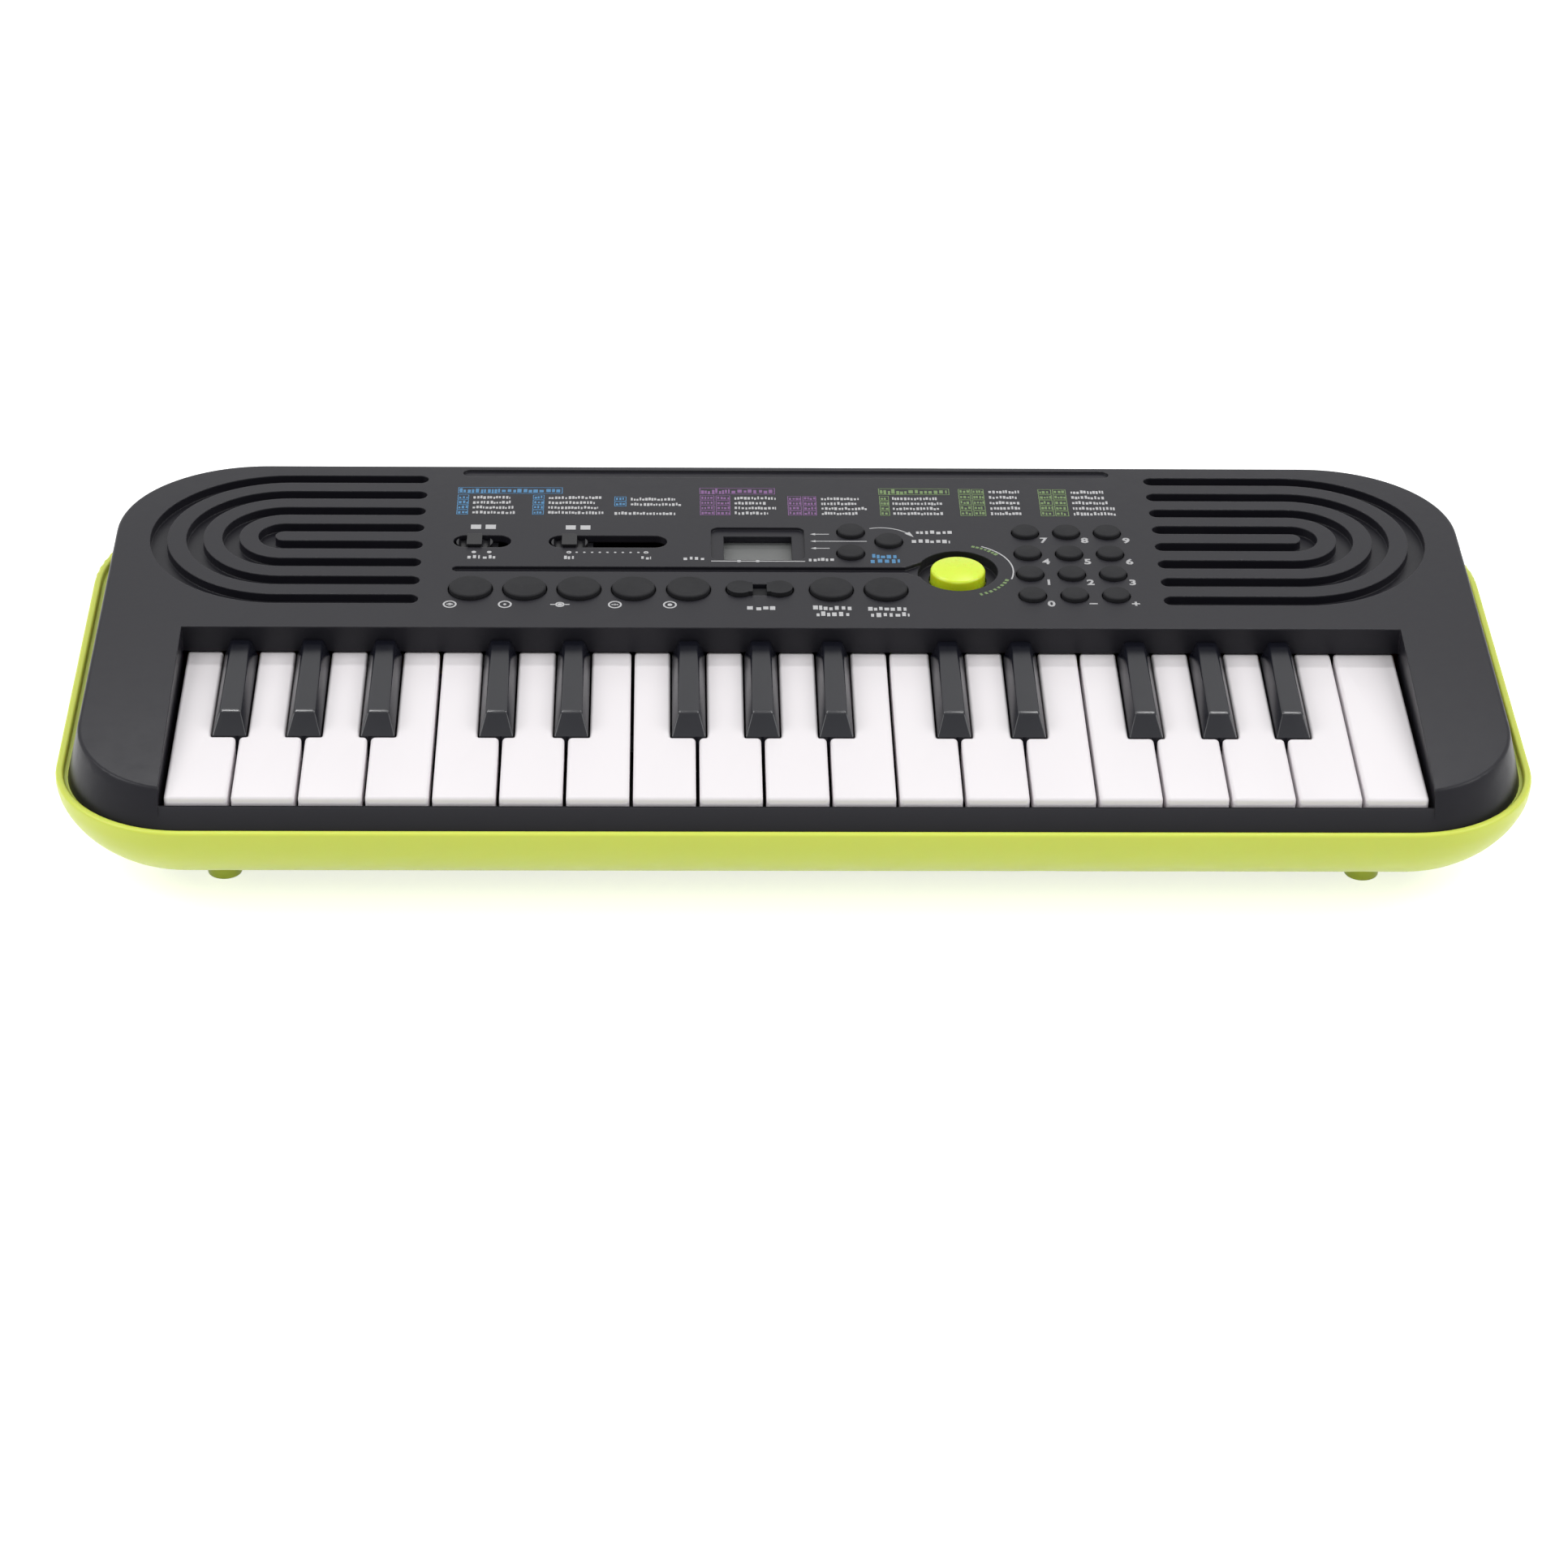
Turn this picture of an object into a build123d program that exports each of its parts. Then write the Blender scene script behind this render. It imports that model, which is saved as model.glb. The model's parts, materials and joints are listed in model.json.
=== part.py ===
from build123d import *
import math
import os

# Toy electronic keyboard with 32 small keys.
# Millimetres, +X to the player's right, +Y away from the player, +Z up.
# The origin is on the ground, under the middle of the case.

# ------------------------------------------------------------ case, overall
case_width = 446.0
case_depth = 208.0
case_height = 51.0
foot_height = 6.0
wall = 2.5

# lower case: a boat-shaped tub with an upright rim
rim_height = 33.0
ledge_height = 31.0
ledge_reach = 4.2
ledge_thickness = 2.5
rim_front_radius = 40.0
rim_rear_radius = 52.0
tub_inset = 31.0
tub_roundness = 1.7
tub_sections = 7
rim_edge_radius = 0.9

# upper case: a crowned lid that stands inside the rim
rim_gap = 1.15
side_draft = 0.232
front_draft = 0.476
rear_draft = 0.06
lid_front_radius = 36.0
lid_rear_radius = 50.0
crown_radius = 1350.0
crown_apex_from_rear = 51.2
lid_edge_radius = 1.2
lid_edge_rise = 12.0

# ------------------------------------------------------------ keys
white_key_count = 19
key_pitch = 19.813
key_gap = 1.1
key_top_height = 40.2
key_front_margin = 9.0
key_visible_length = 86.6
key_skirt_bottom = 32.5
key_shell = 1.5
key_top_thickness = 2.0
key_edge_radius = 0.5
key_dip_degrees = 2.6
black_dip_degrees = 3.0

black_rise = 5.0
black_base_width = 10.2
black_top_width = 6.2
black_front_setback = 36.3
black_top_setback = 43.0
black_side_gap = 0.5
black_edge_radius = 0.4
# a black key stands between white key n and n + 1, moved sideways by the offset
black_keys = [(1, -2.6), (2, 0.0), (3, 2.5), (5, -1.4), (6, 1.5), (8, -2.6), (9, 0.0),
              (10, 2.5), (12, -1.4), (13, 1.5), (15, -2.6), (16, 0.0), (17, 2.5)]

well_side_clearance = 1.0
well_front_clearance = 0.8
well_wall = 2.0
well_front_height = 38.0
well_lip_gap = 0.7

# key pivot rail and hooks
rail_radius = 1.5
hook_clearance = 0.05
rail_setback = 12.4
rail_height = 36.0
hook_width = 5.0
hook_radius = 3.2
hook_mouth = 2.4
post_width = 2.0
frame_floor = 20.0
frame_thickness = 2.5
plunger_height = 31.0
plunger_setback = 26.5
plunger_radius = 2.0
dome_gap = 2.4
guide_setback = 5.0
guide_thickness = 2.0
guide_half_width = 2.5
guide_clearance = 0.58
stop_setback = 41.6
stop_thickness = 2.0
stop_clearance = 0.2
floor_slot_half_width = 6.0
floor_slot_front = 12.0
floor_slot_rear = 38.0
frame_post_xs = [-150.0, -50.0, 50.0, 150.0]

# ------------------------------------------------------------ control panel
button_rise = 1.4
button_travel = 1.2
button_hole_clearance = 0.35
button_flange_thickness = 1.2
button_flange_reach = 1.6
button_edge_radius = 0.5
flange_gap = 0.2
board_top = 42.0
board_thickness = 1.6
board_half_x = 115.0
board_rear_row = 70.0
board_screw_radius = 1.0
board_boss_radius = 2.5
capacitor_xs = [-60.0, -40.0, 60.0, 80.0]
capacitor_radius = 4.0
capacitor_height = 9.0
mat_thickness = 1.0
mat_gap = 0.25
dome_radius = 3.0

pad_radius = 6.7
pad_row = 23.1
pad_xs = [-100.7, -83.65, -66.65, -49.55, -32.25]
start_x = 12.6
melody_x = 29.8

mode_button_radius = 4.25
mode_buttons = [(19.8, 60.5), (19.4, 46.4), (31.8, 54.2)]

number_radius = 4.15
number_xs = [75.8, 89.0, 102.1]
number_rows = [60.3, 46.3, 33.2, 19.9]
number_travel = 1.0
number_web = 1.2
number_web_margin = 2.5

rocker_x = -9.9
rocker_half_span = 6.2
rocker_radius = 4.1
rocker_waist = 3.0
rocker_well_clearance = 0.5
rocker_pin_radius = 0.8
rocker_pin_half_length = 6.0
rocker_pin_drop = 1.2
rocker_pin_clearance = 0.05
rocker_lug_thickness = 1.5

green_x = 53.0
green_row = 35.4
green_radius = 8.7
green_rise = 1.4
green_dome_rise = 0.7
green_well_radius = 12.7
green_well_depth = 3.6
green_well_floor = 1.5

line_groove_width = 3.3
line_groove_depth = 1.3
line_groove_start = -106.9
line_groove_row = 35.8
line_flare_length = 9.0

slot_half_width = 4.0
power_slot_centre = -97.95
power_slot_length = 18.4
power_travel = 4.9
volume_slot_centre = -57.9
volume_slot_length = 37.8
volume_travel = 24.5
slide_row = 53.8
slide_half_length = 5.8
slide_half_width = 3.6
slide_ridge_half = 2.4
slide_rise = 0.9
slide_saddle_drop = 1.5
slide_flange_half_length = 7.5
slide_flange_half_width = 5.5
slide_flange_thickness = 1.2

lcd_left = -25.0
lcd_right = 4.8
lcd_front_row = 41.9
lcd_rear_row = 63.6
lcd_corner_radius = 2.5
lcd_step_depth = 1.0
lcd_step_side = 4.05
lcd_step_front = 1.7
lcd_step_rear = 4.3
lcd_glass_depth = 3.3
lcd_lens_thickness = 1.0
lcd_lens_overlap = 1.5

rest_groove_half_length = 105.7
rest_groove_from_rear = 10.5
rest_groove_width = 5.0
rest_groove_depth = 0.7

# ------------------------------------------------------------ speakers
speaker_x = 161.0
speaker_from_rear = 55.4
groove_count = 4
groove_pitch = 11.45
groove_first_radius = 5.7
groove_width = 5.4
groove_depth = 3.0
groove_end_x = 119.5
grille_backing = 2.0
sound_slot_width = 2.2
sound_slot_length = 26.0
speaker_radius = 33.0
speaker_cone_radius = 27.0
speaker_seat_height = 44.0
speaker_depth = 20.0
magnet_radius = 16.0

# ------------------------------------------------------------ battery bay
cell_radius = 7.25
cell_length = 50.5
cells_per_row = 3
cell_rows = 2
cell_clearance = 0.3
spring_room = 5.25
bay_centre_from_rear = 58.0
bay_lip = 3.0
bay_wall = 2.0
door_thickness = 2.0
door_gap = 0.4
door_lug_xs = [-50.0, 50.0]
door_lug_width = 10.0
door_lug_reach = 2.4
door_lug_gap = 0.3
contact_size = 11.0
contact_thickness = 0.5

# ------------------------------------------------------------ fasteners, jacks, feet
screw_radius = 1.5
screw_head_radius = 2.8
screw_head_height = 1.8
screw_head_recess = 5.0
screw_clearance = 0.05
screw_boss_radius = 4.0
boss_meeting_height = 28.0
screw_thread_length = 12.0
foot_radius = 5.2
foot_x = 173.0
foot_from_edge = 33.0

phones_x = -60.0
phones_bore_radius = 1.8
phones_bore_length = 14.0
power_jack_x = -84.0
power_jack_bore_radius = 2.75
power_jack_pin_radius = 1.0
power_jack_bore_length = 10.0
jack_height = 40.0
jack_body_half = 5.0
jack_body_length = 15.0
jack_nose_radius = 4.0
jack_nose_clearance = 0.2
jack_wall_gap = 0.3

# ------------------------------------------------------------ worked out
front_y = -case_depth / 2
rear_y = case_depth / 2
half_width = case_width / 2
lid_half_width = half_width - wall - rim_gap
lid_front = front_y + wall + rim_gap
lid_rear = rear_y - wall - rim_gap
crown_apex = rear_y - crown_apex_from_rear
key_front = front_y + key_front_margin
well_rear = key_front + key_visible_length
well_half_width = white_key_count * key_pitch / 2 + well_side_clearance
well_front = key_front - well_front_clearance
rail_y = well_rear + rail_setback
speaker_y = rear_y - speaker_from_rear
grille_radius = groove_first_radius + (groove_count - 1) * groove_pitch + groove_width / 2 + 2.0
bay_y = rear_y - bay_centre_from_rear
bay_half_x = cells_per_row * cell_length / 2 + spring_room
bay_half_y = cell_rows * (cell_radius + cell_clearance)
tub_floor = foot_height + wall
cell_height = foot_height + door_thickness + cell_clearance + cell_radius
bay_ceiling = cell_height + cell_radius + cell_clearance
board_front = rail_y + 6.0
board_rear = well_rear + board_rear_row
board_places = [(-111.5, board_front + 3.5), (111.8, board_front + 3.5), (-111.5, board_rear - 4),
                (111.8, board_rear - 4), (42.0, board_rear - 4), (-32.5, board_rear - 4)]
frame_post_ys = [key_front + 45.0, rail_y - 6.0]
jack_top_draft = rear_draft * (jack_height + jack_body_half - ledge_height)
jack_inner_y = lid_rear - wall - jack_top_draft - jack_wall_gap - jack_body_length


def slab(x0, x1, y0, y1, z0, z1):
    """A box between two corners."""
    box = Box(x1 - x0, y1 - y0, z1 - z0)
    return Pos((x0 + x1) / 2, (y0 + y1) / 2, (z0 + z1) / 2) * box


def post(x, y, z0, z1, radius):
    """An upright cylinder from z0 to z1."""
    return Pos(x, y, (z0 + z1) / 2) * Cylinder(radius, z1 - z0)


def bar(x0, x1, y, z, radius):
    """A cylinder along X."""
    return Pos((x0 + x1) / 2, y, z) * Rot(0, 90, 0) * Cylinder(radius, x1 - x0)


def outline(z, half_x, y0, y1, front_radius, rear_radius):
    """A rectangle with round corners, flat at height z."""
    left = -half_x
    path = Line((left + front_radius, y0), (half_x - front_radius, y0))
    path += CenterArc((half_x - front_radius, y0 + front_radius), front_radius, 270, 90)
    path += Line((half_x, y0 + front_radius), (half_x, y1 - rear_radius))
    path += CenterArc((half_x - rear_radius, y1 - rear_radius), rear_radius, 0, 90)
    path += Line((half_x - rear_radius, y1), (left + rear_radius, y1))
    path += CenterArc((left + rear_radius, y1 - rear_radius), rear_radius, 90, 90)
    path += Line((left, y1 - rear_radius), (left, y0 + front_radius))
    path += CenterArc((left + front_radius, y0 + front_radius), front_radius, 180, 90)
    return Pos(0, 0, z) * make_face(path)


def rim_outline(z, inset):
    """The lower case's outline, moved inwards by inset."""
    return outline(z, half_width - inset, front_y + inset, rear_y - inset,
                   rim_front_radius - inset, rim_rear_radius - inset)


def lid_outline(z, inset):
    """The upper case's outline at height z, with its drafts, moved inwards by inset."""
    rise = z - ledge_height
    side = side_draft * rise + inset
    return outline(z, lid_half_width - side, lid_front + front_draft * rise + inset,
                   lid_rear - rear_draft * rise - inset, lid_front_radius - side,
                   lid_rear_radius - side)


def crown_height(y):
    """The height of the crowned panel at depth y."""
    return case_height - crown_radius + math.sqrt(crown_radius ** 2 - (y - crown_apex) ** 2)


def crown_block(drop):
    """Everything under the crowned panel lowered by drop."""
    y0 = front_y - wall
    y1 = rear_y + wall
    low = (y0, crown_height(y0) - drop)
    high = (y1, crown_height(y1) - drop)
    middle = (crown_apex, case_height - drop)
    path = ThreePointArc(low, middle, high)
    path += Polyline(high, (y1, 0), (y0, 0), low)
    face = Plane.YZ * make_face(path)
    return Pos(-case_width, 0, 0) * extrude(face, amount=2 * case_width, dir=(1, 0, 0))


def panel_y(row):
    """Depth of a control whose distance behind the key well is row."""
    return well_rear + row


def stadium(x, y, half_length, radius, z0, z1):
    """An upright slot-shaped prism along X."""
    flat = half_length - radius
    body = slab(x - flat, x + flat, y - radius, y + radius, z0, z1)
    return body + post(x - flat, y, z0, z1, radius) + post(x + flat, y, z0, z1, radius)


def key_edge(index):
    """X of the boundary between two white keys."""
    return (index - white_key_count / 2) * key_pitch


def black_centre(index):
    """X of the black key at a boundary, or None."""
    for boundary, offset in black_keys:
        if boundary == index:
            return key_edge(index) + offset
    return None


def white_stem(number):
    """Left and right X of the narrow rear part of white key number."""
    notch = black_base_width / 2 + black_side_gap
    left = key_edge(number) + key_gap / 2
    right = key_edge(number + 1) - key_gap / 2
    if black_centre(number) is not None:
        left = black_centre(number) + notch
    if black_centre(number + 1) is not None:
        right = black_centre(number + 1) - notch
    return left, right


def hook_centres():
    """X of every key's hook, from left to right."""
    centres = []
    for number in range(white_key_count):
        left, right = white_stem(number)
        centres.append((left + right) / 2)
    for boundary, offset in black_keys:
        centres.append(key_edge(boundary) + offset)
    return sorted(centres)


# ------------------------------------------------------------ case
screw_places = []
for side in (-1, 1):
    arm_x = side * (well_half_width + well_wall + screw_boss_radius + 1.0)
    screw_places.append((arm_x, well_rear - 47.0))
    screw_places.append((arm_x, well_rear + 18.0))
    screw_places.append((side * 115.0, rear_y - 34.5))
screw_places.append((0.0, rear_y - 33.5))


def tub(inset, floor_height):
    """The boat-shaped hull: insets follow a superellipse from the ledge to the floor."""
    faces = []
    for step in range(tub_sections):
        angle = math.pi / 2 * step / (tub_sections - 1)
        across = math.cos(angle) ** (2 / tub_roundness) if step < tub_sections - 1 else 0.0
        down = math.sin(angle) ** (2 / tub_roundness)
        z = ledge_height - down * (ledge_height - floor_height)
        faces.append(rim_outline(z, inset + tub_inset * (1 - across)))
    return loft(faces)


def make_lower_case():
    """Green tub with rim, ledge, feet, battery bay and screw bosses."""
    rim = extrude(rim_outline(ledge_height, 0), amount=rim_height - ledge_height)
    rim -= extrude(rim_outline(ledge_height, wall), amount=rim_height - ledge_height)
    rim = fillet(rim.edges().group_by(Axis.Z)[-1], rim_edge_radius)
    shell = tub(0, foot_height) - tub(wall, tub_floor)
    ledge_low = ledge_height - ledge_thickness
    ledge = extrude(rim_outline(ledge_low, wall - 0.5), amount=ledge_thickness)
    ledge -= extrude(rim_outline(ledge_low, wall + ledge_reach), amount=ledge_thickness)
    body = shell + ledge + rim

    for x in (-foot_x, foot_x):
        for y in (front_y + foot_from_edge, rear_y - foot_from_edge):
            body += post(x, y, 0, tub_floor, foot_radius)

    # battery bay: a pocket that opens downwards, with a lip that the door sits on
    door_x = bay_half_x + bay_lip
    door_y = bay_half_y + bay_lip
    lip_top = foot_height + door_thickness + bay_wall
    outer_x = bay_half_x + bay_wall
    outer_y = bay_half_y + bay_wall
    body += slab(-outer_x, outer_x, bay_y - outer_y, bay_y + outer_y, foot_height,
                 bay_ceiling + bay_wall)
    body += slab(-door_x - bay_wall, door_x + bay_wall, bay_y - door_y - bay_wall,
                 bay_y + door_y + bay_wall, foot_height, lip_top)
    body -= slab(-bay_half_x, bay_half_x, bay_y - bay_half_y, bay_y + bay_half_y, 0,
                 bay_ceiling)
    body -= slab(-door_x, door_x, bay_y - door_y, bay_y + door_y, 0,
                 foot_height + door_thickness)
    hinge_y = bay_y + door_y + door_lug_reach - 1.0
    for x in door_lug_xs:
        half = door_lug_width / 2 + door_gap
        body -= slab(x - half, x + half, bay_y + door_y - 1.0, hinge_y + 1.0 + door_lug_gap, 0,
                     foot_height + door_thickness + 1.0)

    # screw bosses with sunk heads
    for x, y in screw_places:
        body += post(x, y, foot_height + 0.6, boss_meeting_height, screw_boss_radius)
    for x, y in screw_places:
        body -= post(x, y, 0, foot_height + screw_head_recess,
                     screw_head_radius + 0.3)
        body -= post(x, y, 0, boss_meeting_height + 1, screw_radius + 0.2)

    # posts that carry the key frame
    for x in frame_post_xs:
        for y in frame_post_ys:
            body += post(x, y, foot_height + 0.6, frame_floor, screw_boss_radius - 1)
    return body


def u_groove(side, radius, width, z0, z1):
    """An upright prism of one U-shaped groove: a half ring with two straight legs."""
    outer = radius + width / 2
    inner = radius - width / 2
    cx = side * speaker_x
    ring = post(cx, speaker_y, z0, z1, outer) - post(cx, speaker_y, z0, z1, inner)
    far = side * (speaker_x + outer + 1)
    ring &= slab(min(cx, far), max(cx, far), speaker_y - outer - 1, speaker_y + outer + 1, z0, z1)
    for direction in (-1, 1):
        y = speaker_y + direction * radius
        end = side * groove_end_x
        ring += slab(min(cx, end), max(cx, end), y - width / 2, y + width / 2, z0, z1)
        ring += post(end, y, z0, z1, width / 2)
    return ring


def add_grille(body, side):
    """The ribbed speaker grille: a thicker stretch of panel with nested U grooves."""
    outer = grille_radius
    cx = side * speaker_x
    near = side * (groove_end_x - groove_width)
    pad = post(cx, speaker_y, ledge_height, case_height, outer)
    pad += slab(min(cx, near), max(cx, near), speaker_y - outer, speaker_y + outer,
                ledge_height, case_height)
    pad &= crown_block(wall - 0.5) - crown_block(wall + grille_backing)
    body += pad
    seat = post(cx, speaker_y, speaker_seat_height, case_height - wall - 1, speaker_radius)
    seat -= post(cx, speaker_y, 0, case_height, speaker_cone_radius)
    body += seat
    floor = crown_block(groove_depth)
    for number in range(groove_count):
        radius = groove_first_radius + number * groove_pitch
        body -= u_groove(side, radius, groove_width, ledge_height, case_height + 1) - floor
        if radius > speaker_cone_radius:
            continue
        for direction in (-1, 1):
            middle = side * (speaker_x - 1 - sound_slot_length / 2)
            body -= stadium(middle, speaker_y + direction * radius, sound_slot_length / 2,
                            sound_slot_width / 2, ledge_height + 1, case_height)
    return body


def rocker_pin_height():
    """Height of the tempo rocker's pin under the panel."""
    return flange_top(panel_y(pad_row), rocker_radius) - rocker_pin_drop


def add_rocker_lugs(body):
    """Two lugs under the panel that carry the tempo rocker's pin."""
    y = panel_y(pad_row)
    z = rocker_pin_height()
    for direction in (-1, 1):
        outer = y + direction * rocker_pin_half_length
        inner = outer - direction * rocker_lug_thickness
        body += slab(rocker_x - 2, rocker_x + 2, min(inner, outer), max(inner, outer), z - 2,
                     crown_height(y) - wall / 2)
    hole = Pos(rocker_x, y, z) * Rot(90, 0, 0)
    body -= hole * Cylinder(rocker_pin_radius + rocker_pin_clearance, 2 * rocker_pin_half_length + 1)
    return body


def boss_top(x, y):
    """How high a boss under the panel goes, staying below the grille's grooves."""
    beyond = max(abs(x) - speaker_x, 0)
    reach = math.hypot(beyond, y - speaker_y)
    if abs(x) > groove_end_x - groove_width and reach < grille_radius:
        return crown_height(y) - groove_depth - 0.4
    return crown_height(y) - wall / 2


def add_openings(body):
    """Cuts every slot, hole and recess of the control panel."""
    low = ledge_height + 5
    high = case_height + 5
    for x in pad_xs + [start_x, melody_x]:
        body -= post(x, panel_y(pad_row), low, high, pad_radius + button_hole_clearance)
    for x, row in mode_buttons:
        body -= post(x, panel_y(row), low, high, mode_button_radius + button_hole_clearance)
    for x in number_xs:
        for row in number_rows:
            body -= post(x, panel_y(row), low, high, number_radius + button_hole_clearance)
    for centre, length in ((power_slot_centre, power_slot_length),
                           (volume_slot_centre, volume_slot_length)):
        body -= stadium(centre, panel_y(slide_row), length / 2, slot_half_width, low, high)
    body -= rocker_prism(rocker_well_clearance, low, high)
    body -= post(green_x, panel_y(green_row), case_height - green_well_depth, high,
                 green_well_radius)
    body -= post(green_x, panel_y(green_row), low, high, green_radius + 0.4)

    # line groove that flares into the green button's well
    y = panel_y(line_groove_row)
    half = line_groove_width / 2
    end = green_x - green_well_radius
    groove = slab(line_groove_start + half, end + 2, y - half, y + half, low, high)
    groove += post(line_groove_start + half, y, low, high, half)
    flare = Polyline((end - line_flare_length + 5, y - half), (end - line_flare_length + 5, y + half),
                     (end + 6, y + 8.2), (end + 6, y - 7.6), close=True)
    groove += Pos(0, 0, low) * extrude(make_face(flare), amount=high - low)
    body -= groove - crown_block(line_groove_depth)

    # stepped recess around the display
    y0 = panel_y(lcd_front_row)
    y1 = panel_y(lcd_rear_row)
    step = slab(lcd_left, lcd_right, y0, y1, case_height - lcd_glass_depth, high)
    step = fillet(step.edges().filter_by(Axis.Z), lcd_corner_radius)
    body -= step - crown_block(lcd_step_depth)
    body -= slab(lcd_left + lcd_step_side, lcd_right - lcd_step_side, y0 + lcd_step_front,
                 y1 - lcd_step_rear, low, high)

    # long shallow rest groove at the rear
    y = rear_y - rest_groove_from_rear
    rest = stadium(0, y, rest_groove_half_length, rest_groove_width / 2, low, high)
    body -= rest - crown_block(rest_groove_depth)
    return body


def make_upper_case():
    """Black crowned lid with the key well, grilles and control openings."""
    top = case_height + 1
    body = loft([lid_outline(ledge_height, 0), lid_outline(top, 0)], ruled=True)
    body &= crown_block(0)
    rounded = body.edges().filter_by(lambda e: e.center().Z > ledge_height + 5)
    rounded = rounded.filter_by(lambda e: abs((e @ 1).Z - (e @ 0).Z) < lid_edge_rise)
    body = fillet(rounded, lid_edge_radius)
    hollow = loft([lid_outline(ledge_height, wall), lid_outline(top, wall)], ruled=True)
    hollow &= crown_block(wall)
    well_x = well_half_width + well_wall
    hollow -= slab(-well_x, well_x, front_y, well_rear + well_wall, 0, top)
    body -= hollow

    # the key well, open below, with a sloping lip in front of the keys
    body -= slab(-well_half_width, well_half_width, well_front, well_rear, 0, top)
    body -= slab(-well_half_width, well_half_width, well_front, well_rear + well_wall + 1, 0,
                 key_top_height + well_lip_gap)
    lip_low = ledge_height + 1.5
    lip = Polyline((lid_front - 3, lip_low - 0.1), (lid_front + 0.8, lip_low + 0.3),
                   (well_front + 0.1, well_front_height), (well_front + 0.1, top),
                   (lid_front - 3, top), close=True)
    lip_face = Plane.YZ * make_face(lip)
    body -= Pos(-well_half_width, 0, 0) * extrude(lip_face, amount=2 * well_half_width, dir=(1, 0, 0))

    for side in (-1, 1):
        body = add_grille(body, side)
    # thicker stretches under the display and the green button
    low = case_height - lcd_glass_depth
    body += slab(lcd_left - 1, lcd_right + 1, panel_y(lcd_front_row) - 1, panel_y(lcd_rear_row) + 1,
                 low, case_height - wall)
    low = case_height - green_well_depth - green_well_floor
    body += post(green_x, panel_y(green_row), low, case_height - wall, green_well_radius + 1.5)
    body = add_openings(body)

    body = add_rocker_lugs(body)

    # bosses for the case screws and the control board
    for x, y in screw_places:
        body += post(x, y, boss_meeting_height, boss_top(x, y), screw_boss_radius)
    for x, y in screw_places:
        body -= post(x, y, 0, boss_meeting_height + screw_thread_length + 1,
                     screw_radius + screw_clearance)
    for x, y in board_places:
        body += post(x, y, board_top, boss_top(x, y), board_boss_radius)

    # jack openings and the blocks that the jacks are held against
    for x in (phones_x, power_jack_x):
        body += slab(x - jack_body_half, x + jack_body_half, jack_inner_y, lid_rear - wall,
                     jack_height + jack_body_half, case_height - wall)
        hole = Pos(x, lid_rear, jack_height) * Rot(90, 0, 0)
        body -= hole * Cylinder(jack_nose_radius + jack_nose_clearance, 4 * wall)
    return body


# ------------------------------------------------------------ keys
def key_arm(x, top):
    """The arm and C-shaped hook that hold a key on the pivot rail."""
    half = hook_width / 2
    arm = slab(x - half, x + half, well_rear - 3, rail_y, key_skirt_bottom + 1, top)
    arm += bar(x - half, x + half, rail_y, rail_height, hook_radius)
    arm += slab(x - half, x + half, well_rear - 3, rail_y, rail_height - 2, top)
    arm -= bar(x - half - 1, x + half + 1, rail_y, rail_height, rail_radius + hook_clearance)
    mouth = hook_mouth / 2
    arm -= slab(x - half - 1, x + half + 1, rail_y - mouth, rail_y + mouth, 0, rail_height)
    return arm


def white_outline(number, inset, rear):
    """Plan of a white key: wide at the front, narrow beside the black keys."""
    left = key_edge(number) + key_gap / 2 + inset
    right = key_edge(number + 1) - key_gap / 2 - inset
    stem_left, stem_right = white_stem(number)
    stem_left = max(stem_left + inset, left)
    stem_right = min(stem_right - inset, right)
    front = key_front + inset
    notch = key_front + black_front_setback - black_side_gap - inset
    points = [(left, front), (right, front)]
    if stem_right < right:
        points += [(right, notch), (stem_right, notch)]
    points += [(stem_right, rear), (stem_left, rear)]
    if stem_left > left:
        points += [(stem_left, notch), (left, notch)]
    return make_face(Polyline(*points, close=True))


def make_white_key(number):
    """A hollow white key with its hook and contact plunger."""
    rear = well_rear + well_wall
    height = key_top_height - key_skirt_bottom
    body = Pos(0, 0, key_skirt_bottom) * extrude(white_outline(number, 0, rear), amount=height)
    body = fillet(body.edges().group_by(Axis.Z)[-1], key_edge_radius)
    hollow = white_outline(number, key_shell, rear - key_shell)
    body -= extrude(hollow, amount=key_top_height - key_top_thickness)
    left, right = white_stem(number)
    x = (left + right) / 2
    body += key_arm(x, rail_height + hook_radius)
    plunger_y = well_rear - plunger_setback
    body += post(x, plunger_y, plunger_height, key_top_height - key_top_thickness / 2,
                 plunger_radius)
    return body


def make_black_key(boundary, offset):
    """A black key: a straight block below the white keys' tops and a tapered top."""
    x = key_edge(boundary) + offset
    base = black_base_width / 2
    top = black_top_width / 2
    front = key_front + black_front_setback
    top_front = key_front + black_top_setback
    rear = well_rear - 0.6
    low = Polyline((x - base, front), (x + base, front), (x + base, rear), (x - base, rear),
                   close=True)
    high = Polyline((x - top, top_front), (x + top, top_front), (x + top, rear),
                    (x - top, rear), close=True)
    peak = key_top_height + black_rise
    cap = loft([Pos(0, 0, key_top_height) * make_face(low), Pos(0, 0, peak) * make_face(high)],
               ruled=True)
    edges = [e for e in cap.edges() if e.center().Z > key_top_height + 1 and e.center().Y < rear - 1]
    cap = fillet(edges, black_edge_radius)
    block = slab(x - base, x + base, front, rear, key_skirt_bottom, key_top_height)
    body = cap + block
    body -= slab(x - base + key_shell, x + base - key_shell, front + key_shell, rear - key_shell,
                 0, key_top_height - 1)
    body += key_arm(x, rail_height + hook_radius)
    plunger_y = well_rear - plunger_setback
    body += post(x, plunger_y, plunger_height, key_top_height, plunger_radius)
    return body


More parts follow.
